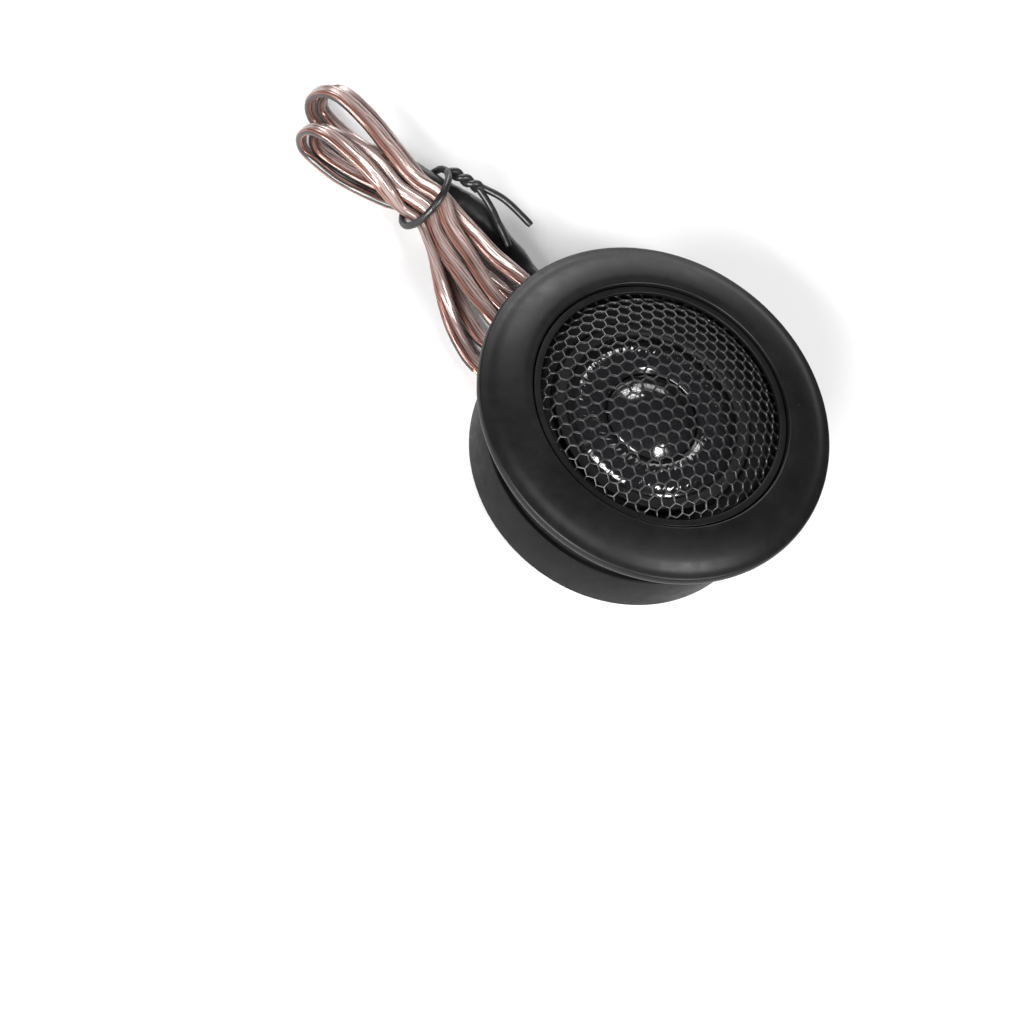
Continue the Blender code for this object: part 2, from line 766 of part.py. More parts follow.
def tie_ring():
    """The stretch of wire round the hank, open at its top right where it is twisted."""
    points = []
    for angle in np.radians(np.linspace(14, 346, 22)):
        across = TIE_HALF_LONG * math.cos(angle) * LONG_AXIS
        upward = TIE_HALF_SHORT * math.sin(angle) * SHORT_AXIS
        points.append(TIE_CENTRE + across + upward)
    return points


def twist_strand(phase):
    """One of the two strands of the twisted stretch, from the ring outwards."""
    along = TWIST_END - TWIST_START
    length = np.linalg.norm(along)
    along = along / length
    side = np.cross(along, (0, 0, 1))
    side /= np.linalg.norm(side)
    up = np.cross(side, along)
    points = []
    for share in np.linspace(0, 1, 13):
        turn = 2 * math.pi * TWIST_TURNS * share + phase
        offset = TWIST_R * (side * math.cos(turn) + up * math.sin(turn))
        points.append(TWIST_START + along * length * share + offset)
    return points


def twist_tie():
    first = [*twist_strand(math.pi / 2), *TIE_TAILS[0]]
    second = [*twist_strand(-math.pi / 2), *TIE_TAILS[1]]
    route = [*reversed(first), *tie_ring(), *second]
    return tube("twist_tie", smooth_path(route, 1.25), TIE_WIRE_R, TIE_BLACK)


def build():
    front_bezel()
    barrel()
    rear_cup(exit_cutter())
    grommet()
    for index, at in enumerate(screw_places(REAR_SCREW_R, REAR_SCREW_ANGLES)):
        rear_screw(index, at)
    grille_mesh()
    grille_ring()
    driver_basket()
    face_plate()
    for index, at in enumerate(screw_places(DRIVER_SCREW_R, DRIVER_SCREW_ANGLES)):
        driver_screw(index, at)
    diaphragm_ring()
    diaphragm_dome()
    surround()
    motor()
    terminals()
    tube("lead_from_housing", smooth_path(LEAD_TO_SLEEVE, 1.2), LEAD_WIDTH / 2, CLEAR_LEAD)
    sleeve()
    capacitor()
    hank()
    twist_tie()


build()
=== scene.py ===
"""Looks for the car tweeter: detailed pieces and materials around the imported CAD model.

Lengths are in millimetres until a mesh is made. +Z is the speaker's axis.
"""

import math

import bmesh
import bpy
import numpy as np
from mathutils import Matrix, Vector


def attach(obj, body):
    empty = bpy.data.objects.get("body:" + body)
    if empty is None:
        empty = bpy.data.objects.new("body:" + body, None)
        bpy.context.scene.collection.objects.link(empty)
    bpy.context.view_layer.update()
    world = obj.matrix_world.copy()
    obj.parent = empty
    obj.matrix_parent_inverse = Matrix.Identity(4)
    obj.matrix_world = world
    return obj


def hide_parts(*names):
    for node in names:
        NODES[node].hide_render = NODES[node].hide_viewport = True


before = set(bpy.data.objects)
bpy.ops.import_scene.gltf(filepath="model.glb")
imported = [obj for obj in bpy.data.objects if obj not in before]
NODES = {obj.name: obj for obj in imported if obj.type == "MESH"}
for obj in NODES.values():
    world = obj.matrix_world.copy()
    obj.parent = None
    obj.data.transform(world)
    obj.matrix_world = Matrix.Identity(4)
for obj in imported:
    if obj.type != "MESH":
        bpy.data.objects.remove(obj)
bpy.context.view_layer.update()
MM = 0.001

# Camera ----------------------------------------------------------------------

CAMERA_PLACE = (-0.0085, -0.2746, 0.4165)
CAMERA_RIGHT = (0.8063, 0.5034, 0.3106)
CAMERA_UP = (-0.5915, 0.6862, 0.4233)
CAMERA_BACK = (0.0, -0.525, 0.8511)
CAMERA_LENS = 113.65


def camera():
    data = bpy.data.cameras.new("camera")
    data.sensor_width = 36.0
    data.lens = CAMERA_LENS
    data.clip_start = 0.01
    data.clip_end = 10.0
    made = bpy.data.objects.new("camera", data)
    bpy.context.scene.collection.objects.link(made)
    turn = Matrix((CAMERA_RIGHT, CAMERA_UP, CAMERA_BACK)).transposed()
    made.matrix_world = Matrix.Translation(CAMERA_PLACE) @ turn.to_4x4()
    bpy.context.scene.camera = made


camera()

# Mesh helpers ----------------------------------------------------------------


def place(name, mesh, look, sharp_deg=40.0):
    """Links the mesh as a new object with one material, shaded smooth below the angle."""
    made = bpy.data.objects.new(name, mesh)
    bpy.context.scene.collection.objects.link(made)
    mesh.materials.append(look)
    mesh.shade_smooth()
    mesh.set_sharp_from_angle(angle=math.radians(sharp_deg))
    return made


def new_mesh(name, points, faces):
    mesh = bpy.data.meshes.new(name)
    mesh.from_pydata([tuple(p) for p in np.asarray(points) * MM], [], faces)
    mesh.validate()
    mesh.update()
    return mesh


def weld(mesh, distance=2e-7):
    shape = bmesh.new()
    shape.from_mesh(mesh)
    bmesh.ops.remove_doubles(shape, verts=shape.verts, dist=distance)
    bmesh.ops.dissolve_degenerate(shape, edges=shape.edges, dist=distance)
    bmesh.ops.recalc_face_normals(shape, faces=shape.faces)
    shape.to_mesh(mesh)
    shape.free()
    return mesh


def filleted(corners, steps=5):
    """The closed outline with each (r, z, radius) corner rounded."""
    made = []
    for index, (r, z, radius) in enumerate(corners):
        here = np.array([r, z])
        if not radius:
            made.append(here)
            continue
        before = np.array(corners[index - 1][:2]) - here
        after = np.array(corners[(index + 1) % len(corners)][:2]) - here
        before = before / np.linalg.norm(before)
        after = after / np.linalg.norm(after)
        half = math.acos(max(-1.0, min(1.0, float(before @ after)))) / 2
        reach = radius / math.tan(half)
        middle = before + after
        centre = here + middle / np.linalg.norm(middle) * radius / math.sin(half)
        first = here + before * reach - centre
        last = here + after * reach - centre
        start = math.atan2(first[1], first[0])
        swing = (math.atan2(last[1], last[0]) - start + math.pi) % (2 * math.pi) - math.pi
        for share in np.linspace(0, 1, steps):
            angle = start + swing * share
            made.append(centre + radius * np.array([math.cos(angle), math.sin(angle)]))
    return made


def revolved(name, profile, look, steps=192, closed=True, sharp_deg=40.0):
    """A turned piece from (r, z) points."""
    profile = np.asarray(profile)
    angles = np.linspace(0, 2 * math.pi, steps, endpoint=False)
    count = len(profile)
    points = np.empty((steps, count, 3))
    points[..., 0] = np.cos(angles)[:, None] * profile[:, 0]
    points[..., 1] = np.sin(angles)[:, None] * profile[:, 0]
    points[..., 2] = profile[:, 1]
    faces = []
    spans = count if closed else count - 1
    for i in range(steps):
        j = (i + 1) % steps
        for k in range(spans):
            m = (k + 1) % count
            faces.append((i * count + k, j * count + k, j * count + m, i * count + m))
    mesh = weld(new_mesh(name, points.reshape(-1, 3), faces))
    return place(name, mesh, look, sharp_deg)


def smooth_path(stations, spacing):
    """Points every `spacing` along a Catmull-Rom curve through the stations."""
    stations = np.asarray(stations, float)
    knots = np.vstack([2 * stations[0] - stations[1], stations, 2 * stations[-1] - stations[-2]])
    fine = []
    for a, b, c, d in zip(knots, knots[1:], knots[2:], knots[3:]):
        for t in np.linspace(0, 1, 24, endpoint=False):
            fine.append(
                0.5
                * (
                    2 * b
                    + (c - a) * t
                    + (2 * a - 5 * b + 4 * c - d) * t**2
                    + (3 * b - a - 3 * c + d) * t**3
                )
            )
    fine.append(stations[-1])
    fine = np.array(fine)
    steps = np.linalg.norm(np.diff(fine[:, :3], axis=0), axis=1)
    travelled = np.concatenate([[0], np.cumsum(steps)])
    count = max(2, round(travelled[-1] / spacing) + 1)
    wanted = np.linspace(0, travelled[-1], count)
    return np.stack([np.interp(wanted, travelled, fine[:, i]) for i in range(fine.shape[1])], axis=1)


def unit(vectors):
    vectors = np.asarray(vectors, float)
    return vectors / np.linalg.norm(vectors, axis=-1, keepdims=True)


def tangents(points):
    return unit(np.gradient(points, axis=0))


def carried(points, first):
    """A side direction for each point, carried along the path without twist."""
    along = tangents(points)
    side = np.asarray(first, float)
    sides = []
    for tangent in along:
        side = unit(side - tangent * (side @ tangent))
        sides.append(side)
    return np.array(sides)


def swept(name, points, outlines, sides, look, sharp_deg=50.0, caps=True, uv=False):
    """A mesh tube: ring i is outlines[i] (across, up) set at points[i]."""
    along = tangents(points)
    sides = unit(sides - along * np.sum(sides * along, axis=1, keepdims=True))
    ups = np.cross(along, sides)
    rings, size = len(points), len(outlines[0])
    outlines = np.asarray(outlines)
    placed = (
        points[:, None, :]
        + outlines[:, :, 0:1] * sides[:, None, :]
        + outlines[:, :, 1:2] * ups[:, None, :]
    )
    faces = []
    for i in range(rings - 1):
        for k in range(size):
            m = (k + 1) % size
            faces.append((i * size + k, i * size + m, (i + 1) * size + m, (i + 1) * size + k))
    if caps:
        faces.append(tuple(range(size)))
        faces.append(tuple(reversed(range((rings - 1) * size, rings * size))))
    mesh = bpy.data.meshes.new(name)
    mesh.from_pydata([tuple(p) for p in placed.reshape(-1, 3) * MM], [], faces)
    if uv:
        steps = np.linalg.norm(np.diff(points, axis=0), axis=1)
        travelled = np.concatenate([[0], np.cumsum(steps)])
        layer = mesh.uv_layers.new(name="run")
        values = np.zeros((len(mesh.loops), 2), np.float32)
        for face in range((rings - 1) * size):
            i, k = divmod(face, size)
            u0, u1 = k / size, (k + 1) / size
            low, high = travelled[i], travelled[i + 1]
            values[face * 4 : face * 4 + 4] = ((u0, low), (u1, low), (u1, high), (u0, high))
        layer.data.foreach_set("uv", values.ravel())
    shape = bmesh.new()
    shape.from_mesh(mesh)
    bmesh.ops.recalc_face_normals(shape, faces=shape.faces)
    shape.to_mesh(mesh)
    shape.free()
    return place(name, mesh, look, sharp_deg)


def circle(radius, sides=16):
    angles = np.linspace(0, 2 * math.pi, sides, endpoint=False)
    return np.stack([radius * np.cos(angles), radius * np.sin(angles)], axis=1)


def wire(name, points, radii, look, first_side=(0.0, 0.3, 1.0), sides=16):
    """A round wire with flat closed ends."""
    radii = np.broadcast_to(radii, (len(points),)).astype(float)
    return swept(name, points, [circle(r, sides) for r in radii], carried(points, first_side), look)


def cut(obj, cutters):
    """Takes the cutters out of the object and applies the result."""
    for cutter in cutters:
        step = obj.modifiers.new("cut", "BOOLEAN")
        step.operation = "DIFFERENCE"
        step.solver = "EXACT"
        step.object = cutter
    graph = bpy.context.evaluated_depsgraph_get()
    mesh = bpy.data.meshes.new_from_object(obj.evaluated_get(graph))
    obj.modifiers.clear()
    obj.data = mesh
    for cutter in cutters:
        bpy.data.objects.remove(cutter)
    mesh.shade_smooth()
    mesh.set_sharp_from_angle(angle=math.radians(30))
    return obj


# Material helpers ------------------------------------------------------------


class Look:
    """A procedural material while its nodes are being joined up."""

    def __init__(self, name, roughness=0.5, metallic=0.0, coat=0.0, coat_roughness=0.05, ior=1.5):
        self.material = bpy.data.materials.new(name)
        self.material.use_nodes = True
        self.tree = self.material.node_tree
        self.shader = self.tree.nodes["Principled BSDF"]
        self.set("Roughness", roughness)
        self.set("Metallic", metallic)
        self.set("Coat Weight", coat)
        self.set("Coat Roughness", coat_roughness)
        self.set("IOR", ior)
        self.place = self.node("ShaderNodeTexCoord").outputs["Object"]

    def set(self, socket, value):
        self.shader.inputs[socket].default_value = value

    def node(self, kind, **settings):
        made = self.tree.nodes.new(kind)
        for key, value in settings.items():
            setattr(made, key, value)
        return made

    def join(self, source, socket):
        if isinstance(source, bpy.types.NodeSocket):
            self.tree.links.new(source, socket)
        else:
            socket.default_value = source

    def scaled(self, stretch=(1, 1, 1), turn=(0, 0, 0), source=None):
        made = self.node("ShaderNodeMapping")
        self.join(source or self.place, made.inputs["Vector"])
        made.inputs["Scale"].default_value = stretch
        made.inputs["Rotation"].default_value = turn
        return made.outputs["Vector"]

    def noise(self, size_mm, detail=2.0, roughness=0.5, stretch=(1, 1, 1), source=None):
        made = self.node("ShaderNodeTexNoise")
        self.join(self.scaled(stretch, source=source), made.inputs["Vector"])
        made.inputs["Scale"].default_value = 1 / (size_mm * MM)
        made.inputs["Detail"].default_value = detail
        made.inputs["Roughness"].default_value = roughness
        return made.outputs["Fac"]

    def cells(self, size_mm, feature="F1", randomness=1.0):
        made = self.node("ShaderNodeTexVoronoi", feature=feature)
        self.join(self.place, made.inputs["Vector"])
        made.inputs["Scale"].default_value = 1 / (size_mm * MM)
        made.inputs["Randomness"].default_value = randomness
        return made.outputs["Distance"]

    def span(self, source, from_low, from_high, low, high):
        made = self.node("ShaderNodeMapRange", clamp=True)
        self.join(source, made.inputs["Value"])
        limits = {"From Min": from_low, "From Max": from_high, "To Min": low, "To Max": high}
        for socket, value in limits.items():
            made.inputs[socket].default_value = value
        return made.outputs["Result"]

    def math(self, operation, first, second=0.0):
        made = self.node("ShaderNodeMath", operation=operation)
        self.join(first, made.inputs[0])
        self.join(second, made.inputs[1])
        return made.outputs[0]

    def mix(self, share, first, second):
        made = self.node("ShaderNodeMix", data_type="RGBA")
        self.join(share, made.inputs["Factor"])
        for value, socket in ((first, made.inputs[6]), (second, made.inputs[7])):
            self.join((*value, 1.0) if isinstance(value, tuple) else value, socket)
        return made.outputs[2]

    def colour(self, source):
        self.join((*source, 1.0) if isinstance(source, tuple) else source, self.shader.inputs["Base Color"])

    def rough(self, source):
        self.join(source, self.shader.inputs["Roughness"])

    def bump(self, *heights):
        """Each height is (socket, depth in mm); they are stacked."""
        normal = None
        for height, depth in heights:
            made = self.node("ShaderNodeBump")
            made.inputs["Strength"].default_value = 1.0
            made.inputs["Distance"].default_value = depth * MM
            self.join(height, made.inputs["Height"])
            if normal:
                self.join(normal, made.inputs["Normal"])
            normal = made.outputs["Normal"]
        self.join(normal, self.shader.inputs["Normal"])


def plastic(name, dark, light, low, high, grain_mm=0.22, grain_depth=0.006, dust=0.5, ior=1.34):
    """Moulded plastic: spark-eroded grain, uneven gloss, faint scuffs and dust."""
    look = Look(name, ior=ior)
    tone = look.span(look.noise(9.0, 3.0), 0.3, 0.7, 0.0, 1.0)
    base = look.mix(tone, dark, light)
    scuff = look.span(look.noise(1.6, 4.0, 0.7, (1.0, 0.25, 1.0)), 0.66, 0.8, 0.0, 0.35)
    base = look.mix(scuff, base, tuple(3.0 * c for c in light))
    speck = look.span(look.cells(2.6), 0.035, 0.02, 0.0, dust)
    base = look.mix(speck, base, (0.12, 0.12, 0.115))
    look.colour(base)
    uneven = look.span(look.noise(2.2, 5.0, 0.65), 0.3, 0.7, low, high)
    look.rough(look.math("ADD", uneven, look.math("MULTIPLY", scuff, 0.25)))
    grain = look.noise(grain_mm, 3.0, 0.6)
    look.bump((grain, grain_depth), (look.noise(5.0, 2.0), 0.03))
    return look.material


def metal(name, colour, dark, low, high, stretch=(1, 1, 1), grain_mm=0.4, depth=0.004):
    """Plated or drawn metal with stains, direction marks and small dents."""
    look = Look(name, metallic=1.0)
    stain = look.span(look.noise(1.8, 4.0, 0.6), 0.35, 0.75, 0.0, 1.0)
    look.colour(look.mix(stain, colour, dark))
    marks = look.noise(grain_mm, 4.0, 0.6, stretch)
    look.rough(look.span(marks, 0.3, 0.7, low, high))
    look.bump((marks, depth), (look.noise(1.2, 2.0), 0.01))
    return look.material


def soft(name, dark, light, size_mm, depth):
    """Felt, foam and fibre: a tangled surface with open cells."""
    look = Look(name, roughness=0.95)
    tangle = look.noise(size_mm, 6.0, 0.7)
    cells = look.cells(size_mm * 1.5)
    look.colour(look.mix(look.span(tangle, 0.3, 0.7, 0.0, 1.0), dark, light))
    look.bump((tangle, depth), (cells, depth))
    return look.material


def film(name):
    """Thin glossy polymer film with fine press marks."""
    look = Look(name, coat=0.6, coat_roughness=0.04)
    look.colour(look.mix(look.noise(3.0, 3.0), (0.007, 0.007, 0.008), (0.013, 0.013, 0.014)))
    look.rough(look.span(look.noise(1.4, 4.0), 0.3, 0.7, 0.08, 0.2))
    look.bump((look.noise(0.5, 3.0), 0.004), (look.noise(3.0, 1.0), 0.03))
    return look.material


def mesh_paint():
    """Black enamel on the perforated sheet, greyer along its edges: a painted edge highlight."""
    look = Look("mesh_enamel", ior=1.5)
    geometry = look.node("ShaderNodeNewGeometry")
    # Painted highlight: grey laid on the webs' sharp edges, uneven in strength.
    edge_highlight = look.span(geometry.outputs["Pointiness"], 0.52, 0.6, 0.0, 0.5)
    patch = look.noise(0.7, 3.0)
    edge_highlight = look.math("MULTIPLY", edge_highlight, look.span(patch, 0.4, 0.7, 0.2, 1.0))
    base = look.mix(look.noise(2.0, 3.0), (0.007, 0.007, 0.0075), (0.016, 0.016, 0.017))
    look.colour(look.mix(edge_highlight, base, (0.09, 0.09, 0.09)))
    look.rough(look.span(patch, 0.3, 0.7, 0.26, 0.42))
    look.bump((look.noise(0.12, 3.0), 0.006), (look.noise(0.5, 2.0), 0.02))
    return look.material


RIBBON_SEAM = 0.5


def lead_look():
    """Clear twin lead: a copper core and a tinned core under glossy clear skin.

    U runs once round the section, tinned core first, and V along it in millimetres.
    """
    look = Look("clear_twin_lead", coat=0.7, coat_roughness=0.08)
    run = look.node("ShaderNodeUVMap", uv_map="run").outputs["UV"]
    split = look.node("ShaderNodeSeparateXYZ")
    look.join(run, split.inputs[0])
    around, along = split.outputs[0], split.outputs[1]
    is_copper = look.math("GREATER_THAN", around, RIBBON_SEAM)
    turns = look.math("MULTIPLY", around, 15.0)
    wobble = look.math("MULTIPLY", look.noise(4.0, 2.0), 1.6)
    lay = look.math("ADD", look.math("ADD", turns, look.math("MULTIPLY", along, 0.13)), wobble)
    wave = look.math("SINE", look.math("MULTIPLY", lay, 2 * math.pi))
    strand = look.span(wave, -0.7, 0.8, 0.0, 1.0)
    streak = look.node("ShaderNodeTexNoise")
    look.join(look.scaled((44.0, 0.22, 1.0), source=run), streak.inputs["Vector"])
    streak.inputs["Scale"].default_value = 1.0
    streak.inputs["Detail"].default_value = 3.0
    fleck = look.span(streak.outputs["Fac"], 0.35, 0.65, 0.0, 1.0)
    copper = look.mix(strand, (0.04, 0.015, 0.012), (0.24, 0.105, 0.08))
    copper = look.mix(look.math("MULTIPLY", fleck, 0.5), copper, (0.34, 0.17, 0.135))
    tinned = look.mix(strand, (0.06, 0.036, 0.032), (0.3, 0.19, 0.17))
    tinned = look.mix(look.math("MULTIPLY", fleck, 0.6), tinned, (0.46, 0.36, 0.335))
    base = look.mix(is_copper, tinned, copper)
    from_edge = look.math("ABSOLUTE", look.math("SUBTRACT", around, 0.75))
    stripe = look.span(from_edge, 0.062, 0.045, 0.0, 1.0)
    base = look.mix(stripe, base, (0.02, 0.016, 0.015))
    in_lobe = look.math("FRACT", look.math("MULTIPLY", around, 2.0))
    to_web = look.math("ABSOLUTE", look.math("SUBTRACT", in_lobe, 0.5))
    web = look.span(to_web, 0.43, 0.49, 0.0, 0.75)
    base = look.mix(web, base, (0.3, 0.24, 0.22))
    look.colour(base)
    look.rough(look.span(fleck, 0.0, 1.0, 0.25, 0.42))
    metal_share = look.math("MULTIPLY", look.math("SUBTRACT", 1.0, stripe), 0.35)
    look.join(metal_share, look.shader.inputs["Metallic"])
    look.bump((strand, 0.02), (look.noise(1.5, 2.0), 0.02))
    return look.material


def sleeve_look():
    """Heat-shrink tubing: satin, with fine draw lines and soft wrinkles."""
    look = Look("heat_shrink_tubing")
    base = look.mix(look.noise(4.0, 3.0), (0.006, 0.006, 0.0065), (0.014, 0.014, 0.015))
    speck = look.span(look.cells(2.0), 0.04, 0.02, 0.0, 0.4)
    look.colour(look.mix(speck, base, (0.12, 0.12, 0.12)))
    look.rough(look.span(look.noise(1.2, 4.0), 0.3, 0.7, 0.28, 0.42))
    lines = look.noise(0.3, 3.0, 0.6, (0.15, 1.0, 1.0))
    look.bump((lines, 0.012), (look.noise(2.5, 2.0), 0.12))
    return look.material


def tie_look():
    look = Look("tie_skin")
    base = look.mix(look.noise(2.0, 3.0), (0.007, 0.007, 0.007), (0.02, 0.019, 0.019))
    look.colour(base)
    look.rough(look.span(look.noise(0.9, 4.0), 0.3, 0.7, 0.26, 0.45))
    look.bump((look.noise(0.35, 3.0), 0.01), (look.noise(1.4, 2.0), 0.06))
    return look.material


SATIN = plastic("satin_black_moulding", (0.003, 0.003, 0.0032), (0.0055, 0.0055, 0.0058), 0.38, 0.48)
# Painted shade: a darker copy of the satin moulding with weaker reflections, for the barrel and cup under the
# flange.
SATIN_SHADED_COPY = plastic("satin_black_shaded_copy", (0.0028, 0.0026, 0.0028), (0.0055, 0.005, 0.005), 0.4, 0.52, 0.25, ior=1.2)
MATT = plastic("matt_black_moulding", (0.009, 0.009, 0.009), (0.016, 0.016, 0.016), 0.5, 0.65, 0.3, 0.01, 0.2)
RUBBER = plastic("grommet_rubber", (0.008, 0.008, 0.008), (0.018, 0.018, 0.018), 0.6, 0.8, 0.35, 0.01, 0.3)
FILM = film("diaphragm_film")
ENAMEL = mesh_paint()
ZINC = metal("zinc_plate", (0.62, 0.62, 0.6), (0.4, 0.39, 0.36), 0.22, 0.42)
NICKEL = metal("nickel_plate", (0.66, 0.63, 0.58), (0.5, 0.47, 0.42), 0.12, 0.28)
COPPER = metal("bare_copper", (0.83, 0.42, 0.29), (0.55, 0.22, 0.13), 0.22, 0.4, (1, 1, 6), 0.25)
TINNED = metal("tinned_copper", (0.78, 0.77, 0.76), (0.55, 0.53, 0.5), 0.2, 0.4, (1, 1, 6), 0.25)
BRASS = metal("brass_tag", (0.78, 0.58, 0.27), (0.5, 0.36, 0.15), 0.22, 0.42)
FELT = soft("felt", (0.12, 0.12, 0.12), (0.26, 0.26, 0.26), 0.35, 0.06)
FOAM = soft("foam", (0.012, 0.012, 0.012), (0.04, 0.04, 0.04), 0.8, 0.15)
FIBRE = soft("fibre_board", (0.2, 0.1, 0.045), (0.36, 0.2, 0.1), 0.5, 0.02)
KAPTON = plastic("polyimide", (0.42, 0.17, 0.03), (0.55, 0.25, 0.06), 0.25, 0.4, 0.4, 0.003, 0.1)
CAN = plastic("capacitor_sleeve", (0.02, 0.06, 0.22), (0.035, 0.09, 0.3), 0.25, 0.4, 0.4, 0.003, 0.1)
LEAD = lead_look()
SHRINK = sleeve_look()
TIE = tie_look()

# Lead route ------------------------------------------------------------------

LEAN_DEG = 31.7
LEAN_COS = math.cos(math.radians(LEAN_DEG))
LEAN_SIN = math.sin(math.radians(LEAN_DEG))
LEAN_ALONG = np.array([0.0, LEAN_COS, LEAN_SIN])
LEAN_ACROSS = np.array([0.0, -LEAN_SIN, LEAN_COS])
EXIT_ANGLE = 142
EXIT_Z = 4.8
CUP_R = 23.7
CUP_WALL = 1.6
LOBE_R = 0.64
LOBE_AT = 0.66


def polar(radius, angle_deg):
    angle = math.radians(angle_deg)
    return radius * math.cos(angle), radius * math.sin(angle)


def beside(radius, across, height):
    """A point at the lead's exit: radius outwards, across sideways, and height."""
    x, y = polar(radius, EXIT_ANGLE)
    angle = math.radians(EXIT_ANGLE + 90)
    return np.array([x + across * math.cos(angle), y + across * math.sin(angle), height])


def leaning(x, lean, height):
    """The point at x whose distance along the leaning direction and height are given."""
    depth = (height - LEAN_SIN * lean) / LEAN_COS
    return np.array([x, LEAN_COS * lean - LEAN_SIN * depth, height])


def in_lean(x, lean, depth, turn_deg):
    """A station by x, lean and depth, with the lead's width turned in that plane."""
    turn = math.radians(turn_deg)
    at = np.array([x, 0, 0]) + lean * LEAN_ALONG + depth * LEAN_ACROSS
    return [*at, *(math.cos(turn) * LEAN_ALONG + math.sin(turn) * LEAN_ACROSS)]


def flat(x, y, z, turn_deg=0.0):
    """A station by x, y and z, with the lead's width turned from +Y towards +Z."""
    turn = math.radians(turn_deg)
    return [x, y, z, 0.0, math.cos(turn), math.sin(turn)]


# Each sleeve station ends with the tube's radius, because the capacitor swells it.
SLEEVE_STATIONS = [
    [-23.7, 17.0, 3.3, 1.9],
    [*leaning(-27.6, 15.9, 2.75), 2.0],
    [*leaning(-31.6, 17.1, 2.75), 2.05],
    [*leaning(-34.9, 17.7, 3.1), 2.15],
    [*leaning(-38.4, 18.7, 4.0), 2.4],
    [*leaning(-42.0, 18.95, 4.75), 2.45],
    [*leaning(-45.5, 18.65, 5.3), 2.25],
    [*leaning(-49.2, 18.4, 5.6), 2.0],
    [*leaning(-52.5, 18.3, 5.4), 1.9],
    [*leaning(-54.9, 18.5, 4.9), 1.8],
]
TIE_X = -48.25
TIE_LEAN = 16.4
TIE_DEPTH = -3.6
TIE_CENTRE = leaning(TIE_X, TIE_LEAN, 5.55)
TIE_HALF_LONG = 5.35
TIE_HALF_SHORT = 4.6
TIE_TILT = 0.5
SHORT_AXIS = np.array([TIE_TILT, -LEAN_SIN, LEAN_COS])
TWIST_START = leaning(-47.0, 22.1, 8.6)
TWIST_END = leaning(-42.2, 22.6, 8.4)
TWIST_R = 0.46
TWIST_TURNS = 1.3
TIE_TAILS = (
    [
        leaning(-39.3, 23.4, 8.6),
        leaning(-37.2, 23.4, 8.5),
        leaning(-34.9, 23.1, 8.2),
        leaning(-32.5, 22.7, 7.9),
    ],
    [
        leaning(-38.9, 21.1, 7.7),
        leaning(-36.6, 19.8, 7.3),
        leaning(-34.9, 18.9, 6.9),
        leaning(-33.3, 17.9, 6.5),
    ],
)
TIE_WIRE_R = 0.57


def slot_at(lean, depth, turn_deg):
    return [
        in_lean(TIE_X + 1.8, TIE_LEAN + lean, TIE_DEPTH + depth, turn_deg),
        in_lean(TIE_X - 1.8, TIE_LEAN + lean, TIE_DEPTH + depth, turn_deg),
    ]


# Each tie slot is given from the housing's side to the loops' side.
SLOTS = {
    1: slot_at(-3.32, 0.82, 74),
    2: slot_at(-1.43, 2.43, 29),
    3: slot_at(1.05, 3.12, -2),
    4: slot_at(1.45, 1.85, 0),
    5: slot_at(-3.05, -1.65, -57),
    6: slot_at(-1.38, 0.35, 0),
    7: slot_at(-1.15, -1.6, -48),
}


def fold(tip_x, first, last, first_turn_deg, last_turn_deg):
    """Stations round a half turn with its tip at tip_x, between two (y, z) places."""
    first, last = np.array(first), np.array(last)
    middle, half = (first + last) / 2, (last - first) / 2
    reach = math.copysign(np.linalg.norm(half), tip_x - TIE_X)
    stations = []
    for share in (0.0, 0.25, 0.5, 0.75, 1.0):
        angle = math.pi * (share - 0.5)
        y, z = middle + half * math.sin(angle)
        turn = first_turn_deg + (last_turn_deg - first_turn_deg) * share
        stations.append(flat(tip_x + reach * (math.cos(angle) - 1), y, z, turn))
    return stations


